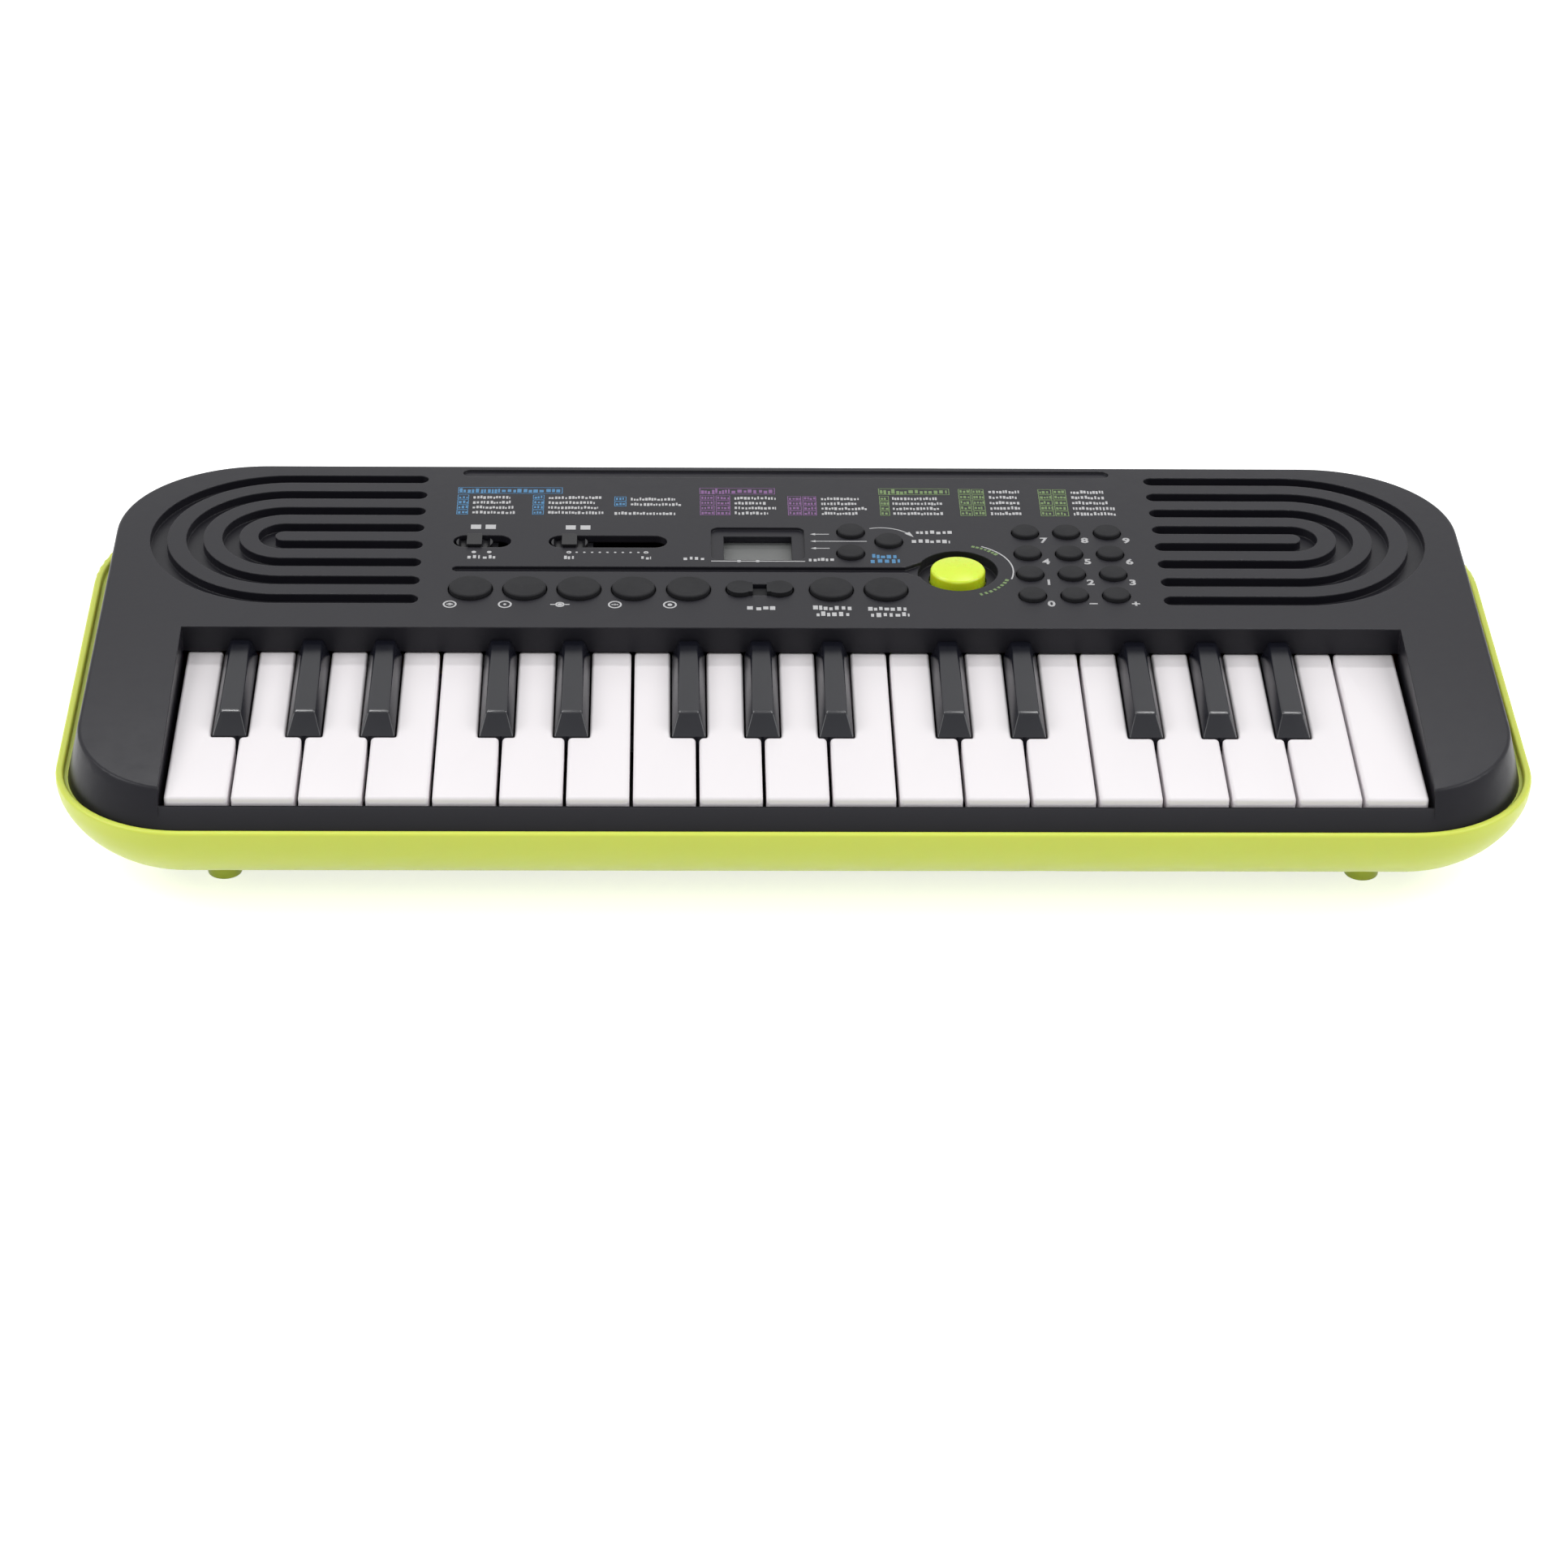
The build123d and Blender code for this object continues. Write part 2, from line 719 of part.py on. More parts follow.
def make_key_frame():
    """The chassis under the keys: floor, pivot rail on posts, guides and stops."""
    half = well_half_width - 1.0
    top = frame_floor + frame_thickness
    front = key_front + 2.0
    rear = rail_y + 6.0
    body = slab(-half, half, front, rear, frame_floor, top)
    centres = hook_centres()
    places = [centres[0] - hook_width, centres[-1] + hook_width]
    for left, right in zip(centres, centres[1:]):
        places.append((left + right) / 2)
    body += bar(min(places) - 1, max(places) + 1, rail_y, rail_height, rail_radius)
    for x in places:
        body += slab(x - post_width / 2, x + post_width / 2, rail_y - 1.2, rail_y + 1.2, top - 0.5,
                     rail_height)
    # one guide inside the front of each white key, clear of the key's top when it is pressed
    guide_front = key_front + guide_setback
    dip = (rail_y - guide_front) * math.tan(math.radians(key_dip_degrees))
    guide_top = key_top_height - key_top_thickness - dip - guide_clearance
    for number in range(white_key_count):
        x = (key_edge(number) + key_edge(number + 1)) / 2
        body += slab(x - guide_half_width, x + guide_half_width, guide_front,
                     guide_front + guide_thickness, top - 0.5, guide_top)
    # one low stop along all keys, just under a pressed black key
    stop_front = well_rear - stop_setback
    dip = (rail_y - stop_front) * math.tan(math.radians(black_dip_degrees))
    body += slab(-half, half, stop_front, stop_front + stop_thickness, top - 0.5,
                 key_skirt_bottom - dip - stop_clearance)
    # slots that let the middle of the floor breathe
    for number in range(white_key_count):
        x = (key_edge(number) + key_edge(number + 1)) / 2
        body -= slab(x - floor_slot_half_width, x + floor_slot_half_width,
                     key_front + floor_slot_front, key_front + floor_slot_rear,
                     frame_floor - 1, top + 1)
    return body


# ------------------------------------------------------------ control panel pieces
def flange_top(y, reach):
    """Height just under the panel, clear of it within reach of depth y."""
    return min(crown_height(y - reach), crown_height(y + reach)) - wall - flange_gap


def make_button(x, row, radius, rise, travel):
    """A round cap with a flange that keeps it in the panel."""
    y = panel_y(row)
    top = crown_height(y) + rise
    under = flange_top(y, radius + button_flange_reach)
    body = post(x, y, under - 0.5, top, radius)
    body = fillet(body.edges().group_by(Axis.Z)[-1], button_edge_radius)
    body += post(x, y, under - button_flange_thickness, under, radius + button_flange_reach)
    return body


def number_web_top():
    """Height of the number pad's web, clear of the panel above it."""
    middle = panel_y((number_rows[0] + number_rows[-1]) / 2)
    reach = (number_rows[0] - number_rows[-1]) / 2 + number_radius + number_web_margin
    return flange_top(middle, reach)


def make_number_buttons():
    """The number pad: twelve caps on one rubber web."""
    low = number_web_top()
    margin = number_radius + number_web_margin
    body = slab(min(number_xs) - margin, max(number_xs) + margin,
                panel_y(min(number_rows)) - margin, panel_y(max(number_rows)) + margin,
                low - number_web, low)
    for x in number_xs:
        for row in number_rows:
            y = panel_y(row)
            cap = post(x, y, low - 0.5, crown_height(y) + button_rise, number_radius)
            body += fillet(cap.edges().group_by(Axis.Z)[-1], button_edge_radius)
    return body


def make_green_button():
    """The large domed button in its round well."""
    y = panel_y(green_row)
    shoulder = crown_height(y) + green_rise - green_dome_rise
    under = case_height - green_well_depth - green_well_floor - flange_gap
    sphere_radius = (green_radius ** 2 + green_dome_rise ** 2) / (2 * green_dome_rise)
    body = post(green_x, y, under - 0.5, shoulder + green_dome_rise, green_radius)
    body &= Pos(green_x, y, shoulder + green_dome_rise - sphere_radius) * Sphere(sphere_radius)
    body += post(green_x, y, under - button_flange_thickness, under, green_radius + 1.4)
    return body


def rocker_prism(clearance, z0, z1):
    """Dumbbell-shaped prism of the tempo rocker."""
    y = panel_y(pad_row)
    radius = rocker_radius + clearance
    body = post(rocker_x - rocker_half_span, y, z0, z1, radius)
    body += post(rocker_x + rocker_half_span, y, z0, z1, radius)
    waist = rocker_waist + clearance
    body += slab(rocker_x - rocker_half_span, rocker_x + rocker_half_span, y - waist, y + waist,
                 z0, z1)
    return body


def make_rocker():
    """The tempo rocker: two lobes and a hollowed middle on a cross pin."""
    y = panel_y(pad_row)
    top = crown_height(y) + button_rise - 0.3
    low = flange_top(y, rocker_radius) - 0.6
    body = rocker_prism(0, low, top)
    body -= slab(rocker_x - 2.2, rocker_x + 2.2, y - 6, y + 6, crown_height(y) - 1.2, top + 1)
    body += slab(rocker_x - 2.0, rocker_x + 2.0, y - rocker_waist, y + rocker_waist, low - 1.4, low)
    pin = Pos(rocker_x, y, rocker_pin_height()) * Rot(90, 0, 0)
    return body + pin * Cylinder(rocker_pin_radius, 2 * rocker_pin_half_length)


def make_slide_knob(x):
    """A slide knob: a ridge with a hollow saddle on each side, and a hidden flange."""
    y = panel_y(slide_row)
    surface = crown_height(y)
    saddle = surface - slide_saddle_drop
    peak = surface + slide_rise
    end = slide_half_length
    ridge = slide_ridge_half
    path = Polyline((-end, surface - wall), (-end, surface - 0.2), (-end + 0.8, surface - 0.2))
    path += ThreePointArc((-end + 0.8, surface - 0.2), (-ridge - 1.3, saddle), (-ridge, peak))
    path += Line((-ridge, peak), (ridge, peak))
    path += ThreePointArc((ridge, peak), (ridge + 1.3, saddle), (end - 0.8, surface - 0.2))
    path += Polyline((end - 0.8, surface - 0.2), (end, surface - 0.2), (end, surface - wall),
                     (-end, surface - wall))
    profile = Plane.XZ * make_face(path)
    knob = Pos(0, slide_half_width, 0) * extrude(profile, amount=2 * slide_half_width, dir=(0, -1, 0))
    knob &= stadium(0, 0, end, slide_half_width, 0, case_height + 5)
    under = flange_top(y, slide_flange_half_width)
    knob += slab(-ridge, ridge, -2, 2, under - 1, saddle - 0.2)
    knob += slab(-slide_flange_half_length, slide_flange_half_length, -slide_flange_half_width,
                 slide_flange_half_width, under - slide_flange_thickness, under)
    return Pos(x, y, 0) * knob


# ------------------------------------------------------------ inner pieces
def make_main_board():
    """Control board with the slide switch bodies, the sound chip and capacitors."""
    low = board_top - board_thickness
    body = slab(-board_half_x, board_half_x, board_front, board_rear, low, board_top)
    y = panel_y(slide_row)
    top = flange_top(y, slide_flange_half_width) - slide_flange_thickness - 0.4
    body += slab(power_slot_centre - 8, power_slot_centre + 8, y - 4, y + 4, board_top - 0.1, top)
    body += slab(volume_slot_centre - 20, volume_slot_centre + 20, y - 4, y + 4, board_top - 0.1, top)
    body += slab(-12, 12, board_front + 14, board_front + 34, low - 2.5, low + 0.1)
    for x in capacitor_xs:
        body += post(x, board_front + 20, low - capacitor_height, low + 0.1, capacitor_radius)
    for x, place in board_places:
        body -= post(x, place, low - 1, board_top, board_screw_radius)
    return body


def button_domes():
    """Place, radius and lowest flange height of every button that presses on the mat."""
    domes = []
    press = button_flange_thickness + button_travel
    y = panel_y(pad_row)
    for x in pad_xs + [start_x, melody_x]:
        domes.append((x, y, flange_top(y, pad_radius + button_flange_reach) - press))
    for x, row in mode_buttons:
        y = panel_y(row)
        domes.append((x, y, flange_top(y, mode_button_radius + button_flange_reach) - press))
    for x in number_xs:
        for row in number_rows:
            domes.append((x, panel_y(row), number_web_top() - number_web - number_travel))
    return domes


def make_contact_rubber():
    """Rubber contact mats: one under the panel's buttons, one strip under the keys."""
    top = board_top + mat_thickness
    body = slab(-board_half_x + 1, number_xs[-1] + 6, board_front + 1, board_rear - 9, board_top, top)
    y = panel_y(slide_row)
    body -= slab(power_slot_centre - 9, volume_slot_centre + 21, y - 5, y + 5, 0, top + 1)
    body -= slab(lcd_left - 3, lcd_right + 3, panel_y(lcd_front_row) - 3, board_rear, 0, top + 1)
    for x, place in board_places:
        body -= post(x, place, 0, top + 1, 3.2)
    for x, place, low in button_domes():
        body += post(x, place, top - 0.2, low - mat_gap, dome_radius)
    y = panel_y(green_row)
    low = case_height - green_well_depth - green_well_floor - flange_gap
    low -= button_flange_thickness + button_travel
    body -= post(green_x, y, low - mat_gap, top + 1, green_radius + 2.5)

    strip_y = well_rear - plunger_setback
    floor = frame_floor + frame_thickness
    strip = slab(-well_half_width + 3, well_half_width - 3, strip_y - 5, strip_y + 5, floor,
                 floor + mat_thickness)
    for x in hook_centres():
        strip += post(x, strip_y, floor + 0.5, plunger_height - dome_gap, dome_radius)
    return body, strip


def make_speaker(side):
    """A round loudspeaker: basket, cone hollow and magnet."""
    top = speaker_seat_height
    cx = side * speaker_x
    body = post(cx, speaker_y, top - 1.5, top, speaker_radius)
    taper = Pos(cx, speaker_y, top - 1.5 - (speaker_depth - 7) / 2)
    body += taper * Cone(magnet_radius + 2, speaker_cone_radius, speaker_depth - 7)
    body += post(cx, speaker_y, top - speaker_depth, top - speaker_depth + 7, magnet_radius)
    hollow = Pos(cx, speaker_y, top - 5) * Cone(magnet_radius * 0.6, speaker_cone_radius - 1.5, 10)
    cap = Pos(cx, speaker_y, top - 9.5) * Sphere(7)
    return body - hollow + (cap & post(cx, speaker_y, top - 12, top - 2.5, 8))


def make_lcd_module():
    """The display module between the board and its lens."""
    glass = case_height - lcd_glass_depth - lcd_lens_thickness
    over = lcd_lens_overlap
    return slab(lcd_left + lcd_step_side - over, lcd_right - lcd_step_side + over,
                panel_y(lcd_front_row) + lcd_step_front - over,
                panel_y(lcd_rear_row) - lcd_step_rear + over, board_top, glass)


def make_lcd_window():
    """The clear lens under the recess."""
    top = case_height - lcd_glass_depth
    over = lcd_lens_overlap
    return slab(lcd_left + lcd_step_side - over, lcd_right - lcd_step_side + over,
                panel_y(lcd_front_row) + lcd_step_front - over,
                panel_y(lcd_rear_row) - lcd_step_rear + over, top - lcd_lens_thickness, top)


def make_jack(x, bore_radius, bore_length, pin_radius):
    """A panel jack with its nose in the rear wall."""
    inner = jack_inner_y
    outer = inner + jack_body_length
    nose_end = lid_rear - jack_top_draft - 0.2
    body = slab(x - jack_body_half, x + jack_body_half, inner, outer,
                jack_height - jack_body_half, jack_height + jack_body_half)
    nose = Pos(x, (outer + nose_end) / 2 - 0.5, jack_height) * Rot(90, 0, 0)
    body += nose * Cylinder(jack_nose_radius, nose_end - outer + 1.0)
    bore = Pos(x, nose_end - bore_length / 2, jack_height) * Rot(90, 0, 0)
    body -= bore * Cylinder(bore_radius, bore_length)
    if pin_radius > 0:
        pin = Pos(x, nose_end - bore_length / 2 - 1.0, jack_height) * Rot(90, 0, 0)
        body += pin * Cylinder(pin_radius, bore_length - 0.5)
    return body


def make_cells():
    """Six round cells in two rows, with their caps."""
    cells = []
    for row in range(cell_rows):
        y = bay_y + (row - (cell_rows - 1) / 2) * 2 * (cell_radius + cell_clearance)
        for number in range(cells_per_row):
            start = (number - cells_per_row / 2) * cell_length
            cell = bar(start, start + cell_length - 1.2, y, cell_height, cell_radius)
            cells.append(cell + bar(start + 40, start + cell_length, y, cell_height, 2.7))
    return cells


def make_battery_contacts():
    """Plates and springs at the ends of the bay."""
    pieces = []
    half = contact_size / 2
    for row in range(cell_rows):
        y = bay_y + (row - (cell_rows - 1) / 2) * 2 * (cell_radius + cell_clearance)
        for side in (-1, 1):
            outer = side * bay_half_x
            inner = side * (bay_half_x - contact_thickness)
            plate = slab(min(outer, inner), max(outer, inner), y - half, y + half,
                         cell_height - half, cell_height + half)
            tip = side * (cells_per_row * cell_length / 2 + cell_clearance)
            spring = bar(min(tip, inner), max(tip, inner), y, cell_height, 3.5)
            pieces.append(plate + spring)
    return pieces


def make_battery_door():
    """The flat door of the battery bay, with two round lugs along its rear edge."""
    x = bay_half_x + bay_lip - door_gap
    y = bay_half_y + bay_lip - door_gap
    body = slab(-x, x, bay_y - y, bay_y + y, foot_height, foot_height + door_thickness)
    hinge_y = bay_y + bay_half_y + bay_lip + door_lug_reach - 1.0
    middle = foot_height + door_thickness / 2
    for lug_x in door_lug_xs:
        half = door_lug_width / 2
        body += slab(lug_x - half, lug_x + half, bay_y + y - 1, hinge_y, foot_height,
                     foot_height + door_thickness)
        body += bar(lug_x - half, lug_x + half, hinge_y, middle, door_thickness / 2)
    # finger ridges
    for number in range(5):
        ridge_y = bay_y - y + 5.0 + 2.0 * number
        body -= slab(-12, 12, ridge_y - 0.4, ridge_y + 0.4, 0, foot_height + 0.5)
    return body


def make_screw(x, y):
    """A pan-head case screw, driven from below."""
    head_top = foot_height + screw_head_recess
    head = post(x, y, head_top - screw_head_height, head_top, screw_head_radius)
    head -= slab(x - 1.8, x + 1.8, y - 0.35, y + 0.35, head_top - screw_head_height - 1,
                 head_top - screw_head_height + 0.8)
    head -= slab(x - 0.35, x + 0.35, y - 1.8, y + 1.8, head_top - screw_head_height - 1,
                 head_top - screw_head_height + 0.8)
    return head + post(x, y, head_top - 0.2, boss_meeting_height + screw_thread_length, screw_radius)


# ------------------------------------------------------------ build
def all_parts():
    """Every sub-part by node name."""
    parts = {}
    parts["lower_case"] = make_lower_case()
    parts["upper_case"] = make_upper_case()
    parts["key_frame"] = make_key_frame()
    for number in range(white_key_count):
        parts[f"key_white_{number + 1:02d}"] = make_white_key(number)
    for number, (boundary, offset) in enumerate(black_keys):
        parts[f"key_black_{number + 1:02d}"] = make_black_key(boundary, offset)
    for number, x in enumerate(pad_xs):
        parts[f"pad_{number + 1}"] = make_button(x, pad_row, pad_radius, button_rise, button_travel)
    parts["start_button"] = make_button(start_x, pad_row, pad_radius, button_rise, button_travel)
    parts["melody_button"] = make_button(melody_x, pad_row, pad_radius, button_rise, button_travel)
    for number, (x, row) in enumerate(mode_buttons):
        parts[f"mode_button_{number + 1}"] = make_button(x, row, mode_button_radius, button_rise,
                                                         button_travel)
    parts["number_buttons"] = make_number_buttons()
    parts["changeover_button"] = make_green_button()
    parts["tempo_rocker"] = make_rocker()
    parts["power_switch"] = make_slide_knob(power_slot_centre - power_travel / 2)
    parts["volume_slider"] = make_slide_knob(volume_slot_centre - volume_travel / 2)
    parts["battery_door"] = make_battery_door()
    parts["main_board"] = make_main_board()
    parts["contact_rubber"] = Compound(children=list(make_contact_rubber()))
    parts["speakers"] = Compound(children=[make_speaker(-1), make_speaker(1)])
    parts["lcd_module"] = make_lcd_module()
    parts["lcd_window"] = make_lcd_window()
    parts["jacks"] = Compound(children=[
        make_jack(phones_x, phones_bore_radius, phones_bore_length, 0),
        make_jack(power_jack_x, power_jack_bore_radius, power_jack_bore_length,
                  power_jack_pin_radius)])
    parts["batteries"] = Compound(children=make_cells())
    parts["battery_contacts"] = Compound(children=make_battery_contacts())
    parts["case_screws"] = Compound(children=[make_screw(x, y) for x, y in screw_places])
    return parts


os.makedirs("parts", exist_ok=True)
for node, shape in all_parts().items():
    export_step(shape, f"parts/{node}.step")
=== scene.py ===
"""A toy electronic keyboard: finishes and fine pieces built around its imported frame."""
import json
import math

import bmesh
import bpy
import numpy as np
from mathutils import Matrix, Vector


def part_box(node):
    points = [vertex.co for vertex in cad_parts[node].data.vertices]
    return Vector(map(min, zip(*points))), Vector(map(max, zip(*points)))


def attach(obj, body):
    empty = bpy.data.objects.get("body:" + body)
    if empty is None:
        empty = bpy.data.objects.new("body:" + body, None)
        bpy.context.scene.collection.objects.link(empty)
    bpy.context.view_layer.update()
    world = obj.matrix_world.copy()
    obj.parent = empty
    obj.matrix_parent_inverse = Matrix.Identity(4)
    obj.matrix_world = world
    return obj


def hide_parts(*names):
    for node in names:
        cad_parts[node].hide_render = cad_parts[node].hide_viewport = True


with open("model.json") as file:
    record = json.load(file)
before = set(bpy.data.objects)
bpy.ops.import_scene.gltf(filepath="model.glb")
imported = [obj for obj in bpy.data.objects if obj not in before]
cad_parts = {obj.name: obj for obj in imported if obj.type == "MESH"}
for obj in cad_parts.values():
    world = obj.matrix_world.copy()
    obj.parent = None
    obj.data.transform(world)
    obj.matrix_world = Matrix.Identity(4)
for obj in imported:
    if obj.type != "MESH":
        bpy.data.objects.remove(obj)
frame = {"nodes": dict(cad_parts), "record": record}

bl_info = {
    "name": "Toy Keyboard",
    "version": (1, 0, 0),
    "blender": (4, 5, 0),
    "location": "3D View > Sidebar > Keyboard",
    "description": "Builds the keys, buttons, prints and finishes of a small toy keyboard",
    "category": "Object",
}

MM = 0.001
MERGE = 0.002 * MM
ON_CROWN = 0.02 * MM

# ------------------------------------------------------------ places taken from the frame
LID_LOW, LID_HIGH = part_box("upper_case")
TUB_LOW, TUB_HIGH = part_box("lower_case")
KEY_LOW, KEY_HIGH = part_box("key_white_01")
LENS_LOW, LENS_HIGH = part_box("lcd_window")
GREEN_LOW, GREEN_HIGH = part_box("changeover_button")
CROWN_RADIUS = 1350 * MM
CROWN_APEX = TUB_HIGH.y - 51.2 * MM
CROWN_TOP = LID_HIGH.z
WELL_REAR = KEY_LOW.y + 86.6 * MM
KEY_TOP = TUB_HIGH.z + 7.2 * MM
KEY_SKIRT = 7.7 * MM
KEY_WALL = 1.5 * MM
WHITE_UNDER_LID = 2.0 * MM
BLACK_REAR_GAP = 0.6 * MM
BLACK_SIDE_GAP = 0.5 * MM
BLACK_RISE = 5.0 * MM
BLACK_SIDE_LEAN = 2.0 * MM
BLACK_FRONT_LEAN = 6.0 * MM
RAIL_RADIUS = 1.55 * MM
RAIL_BELOW_TOP = 4.2 * MM
HOOK_RADIUS = 3.2 * MM
HOOK_MOUTH = 1.19 * MM
ARM_OVER_RAIL = 2.6 * MM
ARM_UNDER_RAIL = 2.3 * MM
ARM_LAP = 2.0 * MM
ARM_HALF_WIDTH = 2.5 * MM
FLANGE = 1.2 * MM
BUTTON_RIM = 1.6 * MM
CAP_DEPTH = 2.0 * MM
CAP_RADIUS = 4.15 * MM
CAP_RISE = 1.4 * MM
WEB_MARGIN = 2.5 * MM
PANEL_FRONT = WELL_REAR + 8.4 * MM
WHITE_COUNT = sum(name.startswith("key_white") for name in frame["nodes"])
BLACK_COUNT = sum(name.startswith("key_black") for name in frame["nodes"])


def crown(y):
    """Height of the panel: an arc of a circle about an X axis, highest at CROWN_APEX."""
    return CROWN_TOP - CROWN_RADIUS + np.sqrt(CROWN_RADIUS ** 2 - (y - CROWN_APEX) ** 2)


def body_of(node):
    """Name of the body that a CAD node rides on."""
    for body, nodes in frame["record"]["behaviour"]["bodies"].items():
        if node in nodes:
            return body
    raise ValueError(f"no body holds {node}")


# ------------------------------------------------------------ shader helpers
def add(tree, kind, **values):
    """Adds a shader node and sets the named properties on it."""
    node = tree.nodes.new(kind)
    for name, value in values.items():
        setattr(node, name, value)
    return node


def feed(tree, source, target):
    """Links a value, or an output socket, to an input socket."""
    if isinstance(source, bpy.types.NodeSocket):
        tree.links.new(source, target)
    else:
        target.default_value = source


def maths(tree, operation, first, second=0.5, clamp=False):
    """One Math node; returns its output."""
    node = add(tree, "ShaderNodeMath", operation=operation, use_clamp=clamp)
    feed(tree, first, node.inputs[0])
    feed(tree, second, node.inputs[1])
    return node.outputs[0]


def blend_colour(tree, factor, first, second):
    """Mixes two colours; returns the result."""
    node = add(tree, "ShaderNodeMix", data_type="RGBA")
    feed(tree, factor, node.inputs[0])
    feed(tree, first, node.inputs[6])
    feed(tree, second, node.inputs[7])
    return node.outputs[2]


def noise(tree, place, scale, detail=3.0, roughness=0.5):
    """Noise on Object coordinates; returns its value from 0 to 1."""
    node = add(tree, "ShaderNodeTexNoise")
    tree.links.new(place, node.inputs["Vector"])
    node.inputs["Scale"].default_value = scale
    node.inputs["Detail"].default_value = detail
    node.inputs["Roughness"].default_value = roughness
    return node.outputs["Fac"]


def spread(tree, value, low, high, to_low=0.0, to_high=1.0):
    """Maps a stretch of values onto another, clamped."""
    node = add(tree, "ShaderNodeMapRange")
    tree.links.new(value, node.inputs["Value"])
    for name, number in (("From Min", low), ("From Max", high), ("To Min", to_low), ("To Max", to_high)):
        node.inputs[name].default_value = number
    return node.outputs["Result"]


def socket(tree, name, direction, kind, default=None):
    """Adds one named socket to a node group."""
    made = tree.interface.new_socket(name=name, in_out=direction, socket_type=kind)
    if default is not None:
        made.default_value = default
    return made


def moulded_group():
    """Shared effect of moulded plastic: spark-eroded grain, slow mottling, dust and handling marks.

    The height is fine noise times Grain; colour is Base darkened or lightened by slow noise times Mottle and
    greyed by Dust where a second noise is high; roughness is Roughness plus scuffs and the dust."""
    tree = bpy.data.node_groups.new("Moulded plastic", "ShaderNodeTree")
    socket(tree, "Base", "INPUT", "NodeSocketColor", (0.1, 0.1, 0.1, 1))
    socket(tree, "Roughness", "INPUT", "NodeSocketFloat", 0.4)
    socket(tree, "Grain", "INPUT", "NodeSocketFloat", 1.0)
    socket(tree, "Mottle", "INPUT", "NodeSocketFloat", 0.05)
    socket(tree, "Dust", "INPUT", "NodeSocketFloat", 0.0)
    socket(tree, "Scuff", "INPUT", "NodeSocketFloat", 1.0)
    socket(tree, "Colour", "OUTPUT", "NodeSocketColor")
    socket(tree, "Rough", "OUTPUT", "NodeSocketFloat")
    socket(tree, "Height", "OUTPUT", "NodeSocketFloat")
    given = add(tree, "NodeGroupInput")
    result = add(tree, "NodeGroupOutput")
    place = add(tree, "ShaderNodeTexCoord").outputs["Object"]
    slow = noise(tree, place, 22.0, 3.0)
    fine = noise(tree, place, 2600.0, 2.0, 0.6)
    specks = spread(tree, noise(tree, place, 900.0, 4.0, 0.7), 0.62, 0.72)
    swing = maths(tree, "MULTIPLY", maths(tree, "SUBTRACT", slow, 0.5), given.outputs["Mottle"])
    bright = add(tree, "ShaderNodeHueSaturation")
    tree.links.new(maths(tree, "ADD", swing, 1.0), bright.inputs["Value"])
    tree.links.new(given.outputs["Base"], bright.inputs["Color"])
    dust = maths(tree, "MULTIPLY", specks, given.outputs["Dust"])
    colour = blend_colour(tree, dust, bright.outputs["Color"], (0.45, 0.44, 0.42, 1))
    tree.links.new(colour, result.inputs["Colour"])
    scuff = spread(tree, noise(tree, place, 140.0, 5.0, 0.65), 0.35, 0.7, -0.03, 0.05)
    scuff = maths(tree, "MULTIPLY", scuff, given.outputs["Scuff"])
    rough = maths(tree, "ADD", given.outputs["Roughness"], scuff)
    tree.links.new(maths(tree, "ADD", rough, dust, True), result.inputs["Rough"])
    height = maths(tree, "MULTIPLY", fine, given.outputs["Grain"])
    tree.links.new(height, result.inputs["Height"])
    return tree


GROUPS = {}


def plastic(name, colour, roughness, grain=1.0, mottle=0.06, dust=0.0, coat=0.0, bump=0.00002,
            specular=0.5, subsurface=0.0, edge=0.0, metallic=0.0, scuff=1.0):
    """A moulded material; edge, in metres, rounds sharp edges in the shading."""
    if name in bpy.data.materials:
        return bpy.data.materials[name]
    if "moulded" not in GROUPS:
        GROUPS["moulded"] = moulded_group()
    material = bpy.data.materials.new(name)
    material.use_nodes = True
    tree = material.node_tree
    shader = tree.nodes["Principled BSDF"]
    group = add(tree, "ShaderNodeGroup", node_tree=GROUPS["moulded"])
    group.inputs["Base"].default_value = (*colour, 1)
    group.inputs["Roughness"].default_value = roughness
    group.inputs["Grain"].default_value = grain
    group.inputs["Mottle"].default_value = mottle
    group.inputs["Dust"].default_value = dust
    group.inputs["Scuff"].default_value = scuff
    relief = add(tree, "ShaderNodeBump")
    relief.inputs["Distance"].default_value = bump
    relief.inputs["Strength"].default_value = 0.6
    tree.links.new(group.outputs["Height"], relief.inputs["Height"])
    if edge:
        rounded = add(tree, "ShaderNodeBevel", samples=6)
        rounded.inputs["Radius"].default_value = edge
        tree.links.new(rounded.outputs[0], relief.inputs["Normal"])
    tree.links.new(group.outputs["Colour"], shader.inputs["Base Color"])
    tree.links.new(group.outputs["Rough"], shader.inputs["Roughness"])
    tree.links.new(relief.outputs[0], shader.inputs["Normal"])
    shader.inputs["Specular IOR Level"].default_value = specular
    shader.inputs["Coat Weight"].default_value = coat
    shader.inputs["Coat Roughness"].default_value = 0.12
    shader.inputs["Metallic"].default_value = metallic
    if subsurface:
        shader.inputs["Subsurface Weight"].default_value = subsurface
        shader.inputs["Subsurface Scale"].default_value = 0.004
    return material


